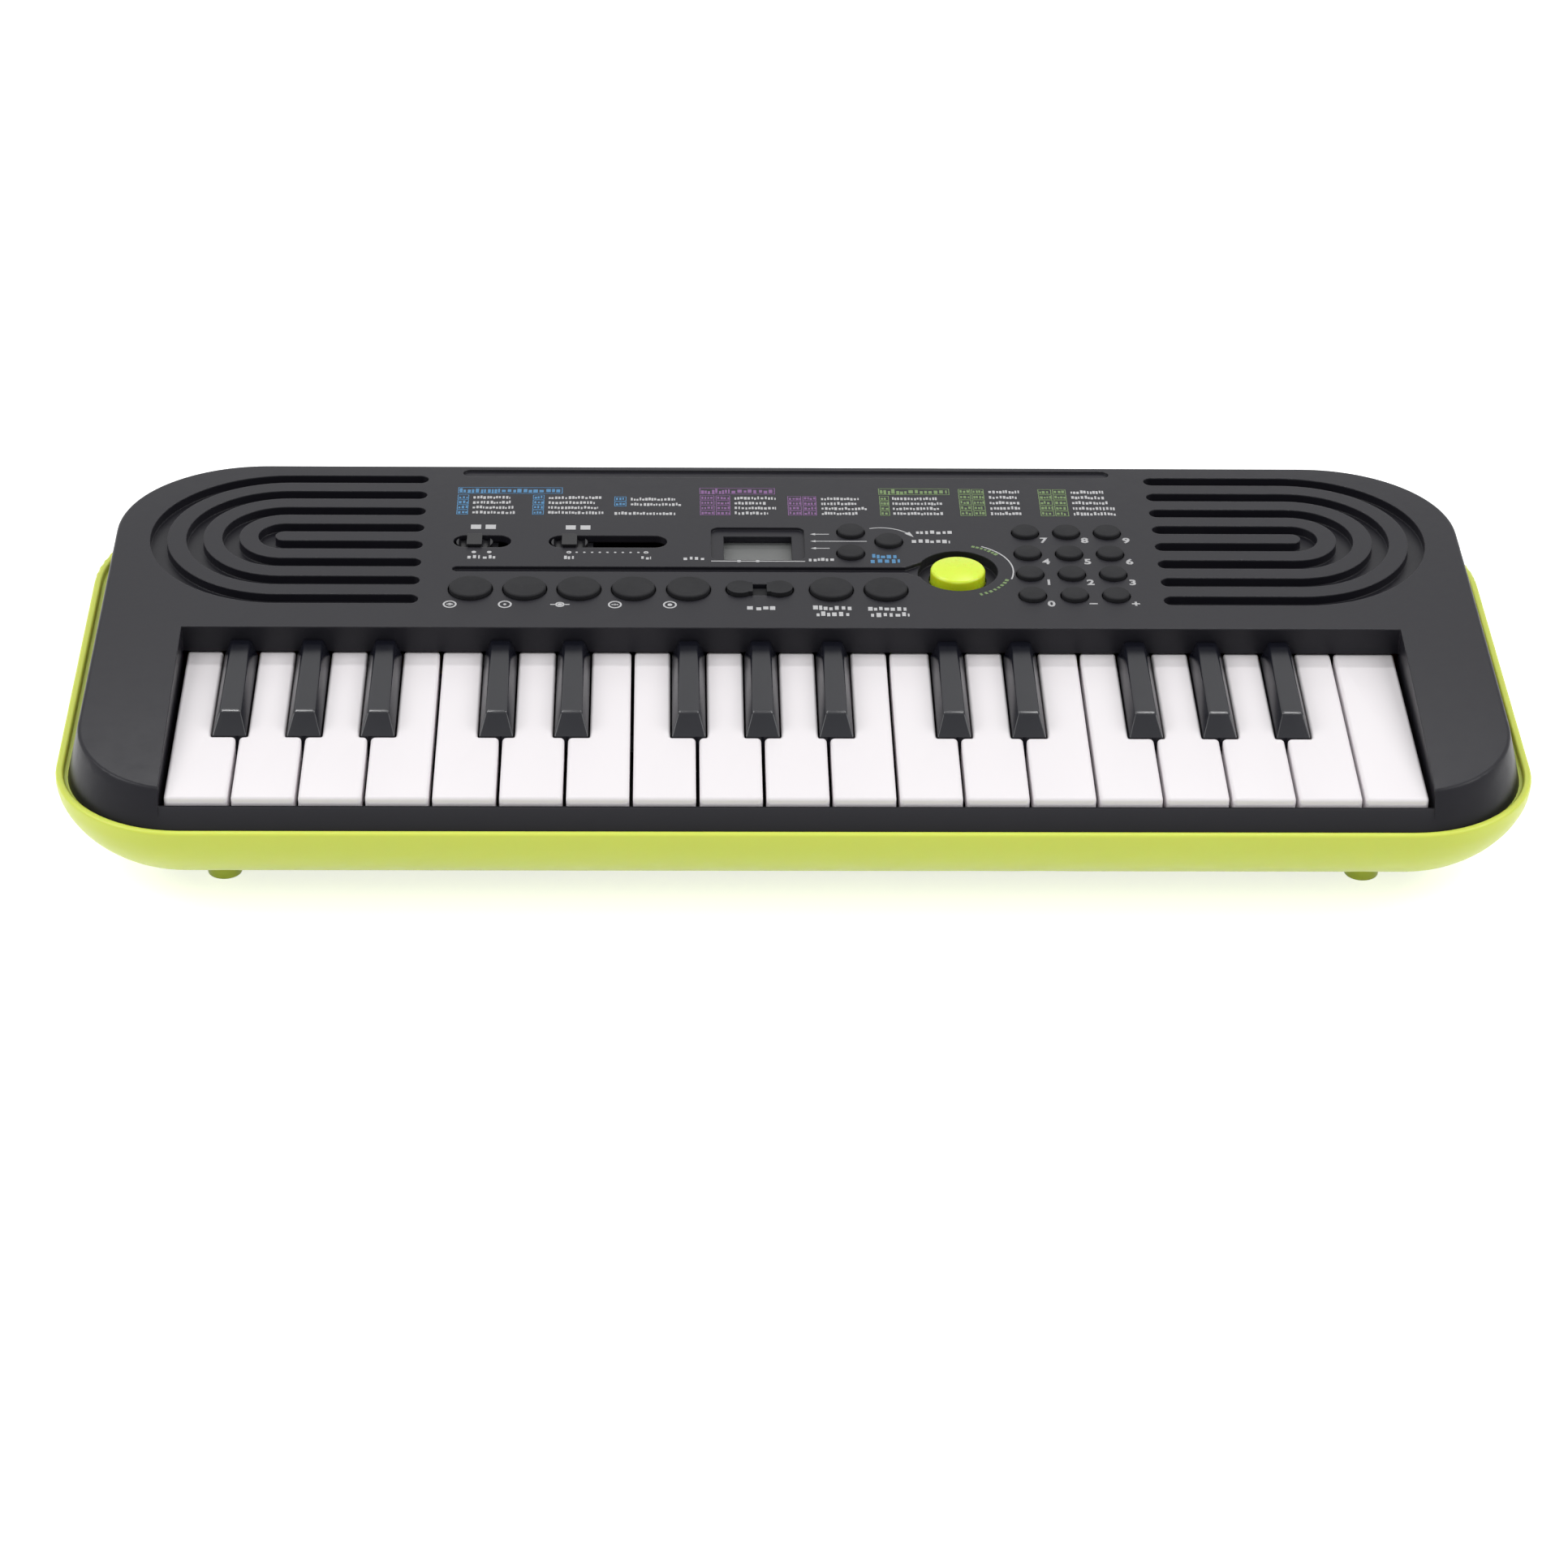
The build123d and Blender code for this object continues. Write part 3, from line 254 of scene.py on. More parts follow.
# ------------------------------------------------------------ mesh helpers
def place_mesh(name, points, faces, material, node=None, body=None, smooth=30.0, replaces=()):
    """Makes an object of points and faces at the origin, shades it and lets it ride on its body."""
    mesh = bpy.data.meshes.new(name)
    mesh.from_pydata(np.asarray(points, float).tolist(), [], [list(map(int, face)) for face in faces])
    mesh.validate()
    mesh.update()
    piece = bpy.data.objects.new(name, mesh)
    bpy.context.scene.collection.objects.link(piece)
    mesh.materials.append(material)
    mesh.shade_smooth()
    mesh.set_sharp_from_angle(angle=math.radians(smooth))
    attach(piece, body or body_of(node))
    if replaces:
        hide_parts(*replaces)
    return piece


def ring_faces(rings, count, offset=0, closed_ends=True):
    """Quads between stacked closed rings of count points each, with a cap at both ends."""
    start = np.arange(rings - 1)[:, None] * count + offset
    turn = np.arange(count)[None, :]
    after = (turn + 1) % count
    quads = np.stack([start + turn, start + after, start + count + after, start + count + turn], -1)
    faces = quads.reshape(-1, 4).tolist()
    if closed_ends:
        faces.append(list(range(offset + count - 1, offset - 1, -1)))
        last = offset + (rings - 1) * count
        faces.append(list(range(last, last + count)))
    return faces


def rounded_polygon(corners, radii, steps=5):
    """Outline of a polygon whose corners are arcs, anticlockwise.

    Each corner's arc touches both sides at radius / tan(half the corner's angle) from the corner;
    its points turn evenly about a centre on the bisector."""
    corners = np.asarray(corners, float)
    radii = np.broadcast_to(np.asarray(radii, float), len(corners))
    back = np.roll(corners, 1, 0) - corners
    on = np.roll(corners, -1, 0) - corners
    back /= np.linalg.norm(back, axis=1)[:, None]
    on /= np.linalg.norm(on, axis=1)[:, None]
    half = np.arccos(np.clip((back * on).sum(1), -1, 1)) / 2
    reach = radii / np.tan(half)
    bisector = back + on
    bisector /= np.linalg.norm(bisector, axis=1)[:, None]
    centre = corners + bisector * (radii / np.sin(half))[:, None]
    first = corners + back * reach[:, None] - centre
    last = corners + on * reach[:, None] - centre
    start = np.arctan2(first[:, 1], first[:, 0])
    sweep = np.arctan2(last[:, 1], last[:, 0]) - start
    sweep = (sweep + np.pi) % (2 * np.pi) - np.pi
    angle = start[:, None] + sweep[:, None] * np.linspace(0, 1, steps)[None, :]
    points = centre[:, None, :] + radii[:, None, None] * np.stack([np.cos(angle), np.sin(angle)], -1)
    return points.reshape(-1, 2)


def revolve(profile, centre, count=72):
    """Points of a surface of revolution: each (radius, height) of the profile turns about Z."""
    profile = np.asarray(profile, float)
    turn = np.linspace(0, 2 * np.pi, count, endpoint=False)
    x = centre[0] + profile[:, :1] * np.cos(turn)[None, :]
    y = centre[1] + profile[:, :1] * np.sin(turn)[None, :]
    z = np.repeat(profile[:, 1:], count, 1)
    return np.stack([x, y, z], -1).reshape(-1, 3)


def quarter(radius, steps=6):
    """Inset and drop of a rounded edge: radius times (1 - cos) across and (1 - sin) down."""
    turn = np.linspace(0, np.pi / 2, steps)
    return radius * (1 - np.cos(turn)), radius * (1 - np.sin(turn))


def merge_corners(mesh, angle):
    """Merges the loose triangles' shared corners and marks edges bent by more than angle as sharp."""
    work = bmesh.new()
    work.from_mesh(mesh)
    bmesh.ops.remove_doubles(work, verts=work.verts, dist=MERGE)
    work.normal_update()
    for edge in work.edges:
        edge.smooth = edge.calc_face_angle(0.0) < math.radians(angle)
    for face in work.faces:
        face.smooth = True
    work.to_mesh(mesh)
    work.free()
    mesh.update()


def crown_normals(mesh):
    """Gives every corner on the panel's arc the arc's own normal.

    That normal points from the arc's centre line to the corner; all other corners keep theirs."""
    points = np.empty(len(mesh.vertices) * 3)
    mesh.vertices.foreach_get("co", points)
    points = points.reshape(-1, 3)
    loops = np.empty(len(mesh.loops), int)
    mesh.loops.foreach_get("vertex_index", loops)
    normals = np.empty(len(mesh.loops) * 3)
    mesh.corner_normals.foreach_get("vector", normals)
    normals = normals.reshape(-1, 3)
    on_crown = np.abs(points[:, 2] - crown(points[:, 1])) < ON_CROWN
    chosen = np.repeat(on_crown[loops.reshape(-1, 3)].all(1), 3)
    run = points[loops, 1] - CROWN_APEX
    rise = CROWN_RADIUS + points[loops, 2] - CROWN_TOP
    exact = np.stack([np.zeros_like(run), run, rise], -1)
    exact /= np.linalg.norm(exact, axis=1)[:, None]
    normals[chosen] = exact[chosen]
    mesh.normals_split_custom_set(normals.tolist())


def smooth_copy(node, name, material, angle=32.0):
    """A merged copy of a CAD node, smooth between its sharp edges, in the node's place."""
    mesh = frame["nodes"][node].data.copy()
    mesh.name = name
    merge_corners(mesh, angle)
    piece = bpy.data.objects.new(name, mesh)
    bpy.context.scene.collection.objects.link(piece)
    mesh.materials.clear()
    mesh.materials.append(material)
    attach(piece, body_of(node))
    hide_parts(node)
    return piece


# ------------------------------------------------------------ properties
class KeyboardFinish(bpy.types.PropertyGroup):
    """Colours and finishes that a user would change."""

    lid: bpy.props.FloatVectorProperty(
        name="Lid", description="Colour of the upper case", subtype="COLOR", default=(0.0125, 0.012, 0.0165))
    tub: bpy.props.FloatVectorProperty(
        name="Tub", description="Colour of the lower case", subtype="COLOR", default=(0.72, 0.82, 0.10))
    accent: bpy.props.FloatVectorProperty(
        name="Accent", description="Colour of the large round button", subtype="COLOR",
        default=(0.72, 0.92, 0.02))
    white_key: bpy.props.FloatVectorProperty(
        name="White keys", description="Colour of the white keys", subtype="COLOR",
        default=(0.91, 0.875, 0.895))
    black_key: bpy.props.FloatVectorProperty(
        name="Black keys", description="Colour of the black keys", subtype="COLOR",
        default=(0.005, 0.0055, 0.010))
    rubber: bpy.props.FloatVectorProperty(
        name="Rubber", description="Colour of the rubber buttons", subtype="COLOR",
        default=(0.013, 0.013, 0.015))
    blue: bpy.props.FloatVectorProperty(
        name="Blue print", description="First printed colour", subtype="COLOR", default=(0.06, 0.22, 0.42))
    violet: bpy.props.FloatVectorProperty(
        name="Violet print", description="Second printed colour", subtype="COLOR",
        default=(0.20, 0.085, 0.24))
    green: bpy.props.FloatVectorProperty(
        name="Green print", description="Third printed colour", subtype="COLOR", default=(0.16, 0.25, 0.09))


class KeyboardSizes(bpy.types.PropertyGroup):
    """Small sizes that shape the new pieces."""

    key_round: bpy.props.FloatProperty(
        name="Key edge", description="Rounding of the white keys' top edges", default=1.0 * MM,
        unit="LENGTH", precision=5)
    key_corner: bpy.props.FloatProperty(
        name="Key corner", description="Rounding of the white keys' corners in plan", default=1.4 * MM,
        unit="LENGTH", precision=5)
    black_round: bpy.props.FloatProperty(
        name="Black key edge", description="Rounding of the black keys' edges", default=0.55 * MM,
        unit="LENGTH", precision=5)
    black_front_round: bpy.props.FloatProperty(
        name="Black key front", description="Length of the rounding at the front of a black key's top",
        default=1.8 * MM, unit="LENGTH", precision=5)
    button_round: bpy.props.FloatProperty(
        name="Button edge", description="Rounding of the rubber buttons", default=0.6 * MM,
        unit="LENGTH", precision=5)
    button_crown: bpy.props.FloatProperty(
        name="Button crown", description="How far a rubber button's middle stands above its rim",
        default=0.15 * MM, unit="LENGTH", precision=5)
    ink: bpy.props.FloatProperty(
        name="Ink", description="Thickness of the printed marks above the panel", default=0.04 * MM,
        unit="LENGTH", precision=5)


# ------------------------------------------------------------ case
class KEYBOARD_OT_lid(bpy.types.Operator):
    """Finish the crowned lid: satin black plastic with softened edges"""

    bl_idname = "keyboard.lid"
    bl_label = "Lid"

    def execute(self, context):
        colour = context.scene.keyboard_finish.lid
        satin = plastic("Satin black plastic", colour, 0.36, grain=0.8, mottle=0.10, edge=0.0006,
                        specular=0.25)
        crown_normals(smooth_copy("upper_case", "lid", satin).data)
        return {"FINISHED"}


class KEYBOARD_OT_tub(bpy.types.Operator):
    """Finish the green tub, its battery door and the case screws"""

    bl_idname = "keyboard.tub"
    bl_label = "Tub"

    def execute(self, context):
        colour = context.scene.keyboard_finish.tub
        lime = plastic("Lime plastic", colour, 0.33, grain=0.7, mottle=0.05, subsurface=0.12, edge=0.0004)
        smooth_copy("lower_case", "tub", lime, angle=38.0)
        smooth_copy("battery_door", "door", lime)
        steel = plastic("Screw steel", (0.42, 0.41, 0.40), 0.38, metallic=1.0, mottle=0.2)
        smooth_copy("case_screws", "screws", steel)
        jack = plastic("Jack plastic", (0.016, 0.016, 0.018), 0.42)
        smooth_copy("jacks", "rear_jacks", jack)
        return {"FINISHED"}


# ------------------------------------------------------------ keys
def white_corners(number, inset):
    """Plan corners of a white key, anticlockwise, moved inwards by inset.

    The key is as wide as its CAD node in front of the notch line and narrows beside the black
    keys, which stand BLACK_SIDE_GAP away."""
    low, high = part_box(f"key_white_{number:02d}")
    middle = (low.x + high.x) / 2
    left, right = low.x + inset, high.x - inset
    stem_left, stem_right = left, right
    notch = 0.0
    for other in range(1, BLACK_COUNT + 1):
        black_low, black_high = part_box(f"key_black_{other:02d}")
        if black_high.x < low.x or black_low.x > high.x:
            continue
        notch = black_low.y - BLACK_SIDE_GAP - inset
        if (black_low.x + black_high.x) / 2 > middle:
            stem_right = black_low.x - BLACK_SIDE_GAP - inset
        else:
            stem_left = black_high.x + BLACK_SIDE_GAP + inset
    front = low.y + inset
    rear = WELL_REAR + WHITE_UNDER_LID - inset
    corners = [(left, front), (right, front)]
    if stem_right < right:
        corners += [(right, notch), (stem_right, notch)]
    corners += [(stem_right, rear), (stem_left, rear)]
    if stem_left > left:
        corners += [(stem_left, notch), (left, notch)]
    return corners, (stem_left + stem_right) / 2


def key_arm(node, middle):
    """Arm and snap hook of a key, extruded across the key's middle.

    Seen from the side, an arm runs back from the key to a hook round the pivot rail: an outer and
    an inner arc about the rail's centre, open at the bottom."""
    low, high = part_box(node)
    rail = high.y - HOOK_RADIUS
    z = KEY_TOP - RAIL_BELOW_TOP
    turn = np.linspace(math.radians(-52), math.radians(180), 25)
    outer = np.stack([rail + HOOK_RADIUS * np.cos(turn), z + HOOK_RADIUS * np.sin(turn)], -1)
    inner_turn = np.linspace(math.radians(-40), math.radians(220), 25)
    inner = np.stack([rail + RAIL_RADIUS * np.cos(inner_turn), z + RAIL_RADIUS * np.sin(inner_turn)], -1)
    front = WELL_REAR - ARM_LAP
    arm = [(front, z + ARM_OVER_RAIL), (front, z - ARM_UNDER_RAIL), (rail - HOOK_MOUTH, z - ARM_UNDER_RAIL)]
    outline = np.concatenate([outer[:14], np.array(arm), inner[::-1]])
    count = len(outline)
    points = np.concatenate([np.column_stack([np.full(count, middle + side), outline])
                             for side in (ARM_HALF_WIDTH, -ARM_HALF_WIDTH)])
    return points, ring_faces(2, count)


def join(parts):
    """Joins lists of points and faces into one."""
    points, faces, offset = [], [], 0
    for some_points, some_faces in parts:
        points.append(np.asarray(some_points))
        faces += [[index + offset for index in face] for face in some_faces]
        offset += len(some_points)
    return np.concatenate(points), faces


class KEYBOARD_OT_white_keys(bpy.types.Operator):
    """Build the white keys: hollow plates with rounded edges and notches for the black keys"""

    bl_idname = "keyboard.white_keys"
    bl_label = "White keys"

    def execute(self, context):
        sizes = context.scene.keyboard_sizes
        gloss = plastic("White key plastic", context.scene.keyboard_finish.white_key, 0.32, grain=0.12,
                        mottle=0.012, scuff=0.2, specular=0.3)
        across, down = quarter(sizes.key_round)
        # outer skirt, rounded edge, flat top; then back down inside the hollow
        levels = [(KEY_WALL, KEY_TOP - 2 * MM), (KEY_WALL, KEY_TOP - KEY_SKIRT), (0.0, KEY_TOP - KEY_SKIRT)]
        levels += [(inset, KEY_TOP - drop) for inset, drop in zip(across, down)]
        for number in range(1, WHITE_COUNT + 1):
            node = f"key_white_{number:02d}"
            rings = []
            for inset, height in levels:
                corners, middle = white_corners(number, inset)
                radii = max(sizes.key_corner - inset, 0.25 * MM)
                plan = rounded_polygon(corners, radii)
                rings.append(np.column_stack([plan, np.full(len(plan), height)]))
            count = len(rings[0])
            body = (np.concatenate(rings), ring_faces(len(rings), count))
            points, faces = join([body, key_arm(node, middle)])
            place_mesh(f"white_key_{number:02d}", points, faces, gloss, node, smooth=40,
                       replaces=(node,))
        return {"FINISHED"}


class KEYBOARD_OT_black_keys(bpy.types.Operator):
    """Build the black keys: straight sides below, a tapered top with a sloping front"""

    bl_idname = "keyboard.black_keys"
    bl_label = "Black keys"

    def execute(self, context):
        sizes = context.scene.keyboard_sizes
        satin = plastic("Black key plastic", context.scene.keyboard_finish.black_key, 0.24, grain=0.2,
                        mottle=0.05, scuff=0.4)
        across, down = quarter(sizes.black_round, 9)
        front_across = across * sizes.black_front_round / sizes.black_round
        corner_radii = np.array([0.45, 0.45, 0.05, 0.05]) * MM
        for number in range(1, BLACK_COUNT + 1):
            node = f"key_black_{number:02d}"
            low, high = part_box(node)
            rear = WELL_REAR - BLACK_REAR_GAP
            middle = (low.x + high.x) / 2
            # side, front and rear insets with the height: up inside, down outside, then to the top
            levels = [(KEY_WALL, KEY_WALL, KEY_WALL, KEY_TOP - 1 * MM),
                      (KEY_WALL, KEY_WALL, KEY_WALL, KEY_TOP - KEY_SKIRT),
                      (0.0, 0.0, 0.0, KEY_TOP - KEY_SKIRT), (0.0, 0.0, 0.0, KEY_TOP - 0.15 * MM)]
            for inset, front_inset, drop in zip(across, front_across, down):
                share = 1 - drop / BLACK_RISE
                levels.append((BLACK_SIDE_LEAN * share + inset, BLACK_FRONT_LEAN * share + front_inset,
                               0.0, KEY_TOP + BLACK_RISE - drop))
            rings = []
            for side, front, back, height in levels:
                corners = [(low.x + side, low.y + front), (high.x - side, low.y + front),
                           (high.x - side, rear - back), (low.x + side, rear - back)]
                plan = rounded_polygon(corners, corner_radii, 4)
                rings.append(np.column_stack([plan, np.full(len(plan), height)]))
            count = len(rings[0])
            body = (np.concatenate(rings), ring_faces(len(rings), count))
            points, faces = join([body, key_arm(node, middle)])
            place_mesh(f"black_key_{number:02d}", points, faces, satin, node, smooth=20,
                       replaces=(node,))
        return {"FINISHED"}


# ------------------------------------------------------------ buttons
def cap_profile(radius, top, foot, edge, dome, flange_radius, flange_top, flange_low):
    """Radius and height of a round cap from its underside to its domed top.

    The top rises by dome times (1 - (r / radius) squared) towards the middle."""
    across, down = quarter(edge, 7)
    profile = [(0.4 * MM, flange_low), (flange_radius, flange_low), (flange_radius, flange_top),
               (radius, flange_top), (radius, foot)]
    profile += [(radius - inset, top - drop) for inset, drop in zip(across, down)]
    for share in np.linspace(0.94, 0.06, 10):
        reach = (radius - edge) * share
        profile.append((reach, top + dome * (1 - share ** 2)))
    return profile


def round_button(node, name, material, edge, dome, number_of_points=72):
    """A rubber button where its CAD node stands, with the node's own flange and height."""
    low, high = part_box(node)
    centre = ((low.x + high.x) / 2, (low.y + high.y) / 2)
    flange = (high.x - low.x) / 2
    radius = flange - BUTTON_RIM
    profile = cap_profile(radius, high.z - dome, high.z - CAP_DEPTH, edge, dome, flange, low.z + FLANGE,
                          low.z)
    points = revolve(profile, centre, number_of_points)
    faces = ring_faces(len(profile), number_of_points)
    place_mesh(name, points, faces, material, node, smooth=40, replaces=(node,))


class KEYBOARD_OT_buttons(bpy.types.Operator):
    """Build the rubber buttons, the number pad, the tempo rocker and the large round button"""

    bl_idname = "keyboard.buttons"
    bl_label = "Buttons"

    def execute(self, context):
        sizes = context.scene.keyboard_sizes
        finish = context.scene.keyboard_finish
        rubber = plastic("Button rubber", finish.rubber, 0.62, grain=1.6, mottle=0.12, dust=0.03,
                         specular=0.22)
        for number in range(1, 6):
            round_button(f"pad_{number}", f"rubber_pad_{number}", rubber, sizes.button_round,
                         sizes.button_crown)
        for node in ("start_button", "melody_button"):
            round_button(node, f"rubber_{node}", rubber, sizes.button_round, sizes.button_crown)
        for number in range(1, 4):
            round_button(f"mode_button_{number}", f"rubber_mode_{number}", rubber, sizes.button_round,
                         sizes.button_crown, 56)
        self.number_pad(rubber, sizes)
        smooth_copy("tempo_rocker", "rocker", rubber, angle=40)
        self.large_button(finish)
        return {"FINISHED"}

    @staticmethod
    def number_pad(rubber, sizes):
        """Twelve caps in three columns and four rows on one web."""
        low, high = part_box("number_buttons")
        margin = CAP_RADIUS + WEB_MARGIN
        columns = np.linspace(low.x + margin, high.x - margin, 3)
        columns[1] += 0.05 * MM
        rows = np.array([52.0, 38.0, 24.8, 11.5]) * MM + PANEL_FRONT
        web_top = low.z + FLANGE
        web = rounded_polygon([(low.x, low.y), (high.x, low.y), (high.x, high.y), (low.x, high.y)],
                              1.0 * MM)
        parts = [(np.concatenate([np.column_stack([web, np.full(len(web), height)])
                                  for height in (low.z, web_top)]), ring_faces(2, len(web)))]
        for x in columns:
            for y in rows:
                top = crown(y) + CAP_RISE
                profile = cap_profile(CAP_RADIUS, top - sizes.button_crown, web_top,
                                      sizes.button_round, sizes.button_crown, CAP_RADIUS, web_top,
                                      web_top - 0.1 * MM)
                parts.append((revolve(profile, (x, y), 56), ring_faces(len(profile), 56)))
        points, faces = join(parts)
        place_mesh("number_pad", points, faces, rubber, "number_buttons", smooth=40,
                   replaces=("number_buttons",))

    @staticmethod
    def large_button(finish):
        """The bright domed button: a cylinder with a broad rounded shoulder and a shallow dome."""
        lime = plastic("Bright lime plastic", finish.accent, 0.28, grain=0.4, mottle=0.03,
                       subsurface=0.25, coat=0.2)
        low, high = GREEN_LOW, GREEN_HIGH
        centre = ((low.x + high.x) / 2, (low.y + high.y) / 2)
        flange = (high.x - low.x) / 2
        rim, shoulder, dome = 1.4 * MM, 1.0 * MM, 0.7 * MM
        profile = cap_profile(flange - rim, high.z - dome, low.z + CAP_DEPTH, shoulder, dome,
                              flange, low.z + FLANGE, low.z)
        place_mesh("round_button", revolve(profile, centre, 96), ring_faces(len(profile), 96), lime,
                   "changeover_button", smooth=40, replaces=("changeover_button",))


class KEYBOARD_OT_slides(bpy.types.Operator):
    """Finish the two slide knobs"""

    bl_idname = "keyboard.slides"
    bl_label = "Slide knobs"

    def execute(self, context):
        knob = plastic("Knob plastic", (0.010, 0.010, 0.012), 0.3, grain=0.3, edge=0.0002,
                       specular=0.35)
        smooth_copy("power_switch", "power_knob", knob, angle=30)
        smooth_copy("volume_slider", "volume_knob", knob, angle=30)
        return {"FINISHED"}


# ------------------------------------------------------------ display
class KEYBOARD_OT_display(bpy.types.Operator):
    """Finish the display: a clear lens over a grey liquid-crystal panel"""

    bl_idname = "keyboard.display"
    bl_label = "Display"

    def execute(self, context):
        clear = plastic("Clear lens", (0.25, 0.26, 0.26), 0.06, grain=0.05, mottle=0.02)
        clear.node_tree.nodes["Principled BSDF"].inputs["Alpha"].default_value = 0.22
        frame["nodes"]["lcd_window"].data.materials.clear()
        frame["nodes"]["lcd_window"].data.materials.append(clear)
        grey = plastic("Display panel", (0.24, 0.245, 0.24), 0.35, grain=0.1, mottle=0.06)
        frame["nodes"]["lcd_module"].data.materials.clear()
        frame["nodes"]["lcd_module"].data.materials.append(grey)
        return {"FINISHED"}


# ------------------------------------------------------------ inner pieces
class KEYBOARD_OT_insides(bpy.types.Operator):
    """Finish what lies inside: key frame, board, mats, speakers, cells and contacts"""

    bl_idname = "keyboard.insides"
    bl_label = "Inner pieces"

    def execute(self, context):
        finishes = {
            "key_frame": plastic("Frame plastic", (0.02, 0.02, 0.022), 0.55),
            "main_board": plastic("Circuit board", (0.030, 0.017, 0.009), 0.4, mottle=0.25),
            "contact_rubber": plastic("Contact rubber", (0.10, 0.10, 0.11), 0.7, grain=1.5),
            "speakers": plastic("Speaker paper", (0.018, 0.018, 0.018), 0.8, grain=3.0),
            "batteries": plastic("Cell jacket", (0.16, 0.17, 0.2), 0.3, metallic=0.6, mottle=0.15),
            "battery_contacts": plastic("Contact steel", (0.6, 0.59, 0.56), 0.3, metallic=1.0),
        }
        for node, material in finishes.items():
            mesh = frame["nodes"][node].data
            mesh.materials.clear()
            mesh.materials.append(material)
        return {"FINISHED"}


# ------------------------------------------------------------ print
class Ink:
    """Collects printed marks of one colour as thin closed plates that follow the panel."""

    def __init__(self, lift):
        self.lift = lift
        self.parts = []

    def plate(self, outline):
        """One plate: the outline at the panel's height plus lift, and again just below the panel."""
        outline = np.asarray(outline, float)
        x, y = outline[:, 0] * MM, outline[:, 1] * MM + PANEL_FRONT
        rings = [np.column_stack([x, y, crown(y) + offset]) for offset in (-0.05 * MM, self.lift)]
        self.parts.append((np.concatenate(rings), ring_faces(2, len(outline))))

    def bar(self, x0, x1, y0, y1):
        """A rectangle."""
        self.plate([(x0, y0), (x1, y0), (x1, y1), (x0, y1)])

    def frame(self, x0, x1, y0, y1, line=0.24):
        """The outline of a rectangle."""
        self.bar(x0, x1, y0, y0 + line)
        self.bar(x0, x1, y1 - line, y1)
        self.bar(x0, x0 + line, y0 + line, y1 - line)
        self.bar(x1 - line, x1, y0 + line, y1 - line)

    def dot(self, x, y, radius, count=16):
        """A filled circle."""
        turn = np.linspace(0, 2 * np.pi, count, endpoint=False)
        self.plate(np.stack([x + radius * np.cos(turn), y + radius * np.sin(turn)], -1))

    def arc(self, x, y, radius, width, start, end, count=24):
        """A stretch of ring between two angles in degrees."""
        turn = np.radians(np.linspace(start, end, count))
        ring = [np.stack([x + reach * np.cos(turn), y + reach * np.sin(turn)], -1)
                for reach in (radius + width / 2, radius - width / 2)]
        for step in range(count - 1):
            self.plate([ring[0][step], ring[0][step + 1], ring[1][step + 1], ring[1][step]])

    def words(self, x0, x1, y, height, random, letter=0.9):
        """A line of illegible small marks: letter-sized blocks with gaps between them."""
        x = x0
        while x < x1 - 0.3:
            width = letter * random.uniform(0.55, 1.0)
            shift = height * random.uniform(-0.12, 0.12)
            tall = height * random.uniform(0.6, 1.0)
            self.bar(x, min(x + width, x1), y + shift, y + shift + tall)
            x += width + letter * random.uniform(0.22, 0.6)

    def finish(self, name, material):
        """Makes the collected plates one object on the case."""
        points, faces = join(self.parts)
        piece = place_mesh(name, points, faces, material, None, "case", smooth=20)
        return piece


def figure_outline(text, size):
    """Mesh of a figure of the built-in font, centred on the origin, in millimetres."""
    curve = bpy.data.curves.new("figure", "FONT")
    curve.body = text
    curve.size = size
    curve.align_x = "CENTER"
    curve.align_y = "CENTER"
    curve.resolution_u = 3
    curve.offset = 0.035 * size
    shape = bpy.data.objects.new("figure", curve)
    bpy.context.scene.collection.objects.link(shape)
    mesh = bpy.data.meshes.new_from_object(shape)
    points = np.empty(len(mesh.vertices) * 3)
    mesh.vertices.foreach_get("co", points)
    faces = [list(face.vertices) for face in mesh.polygons]
    bpy.data.objects.remove(shape)
    bpy.data.curves.remove(curve)
    return points.reshape(-1, 3)[:, :2], faces


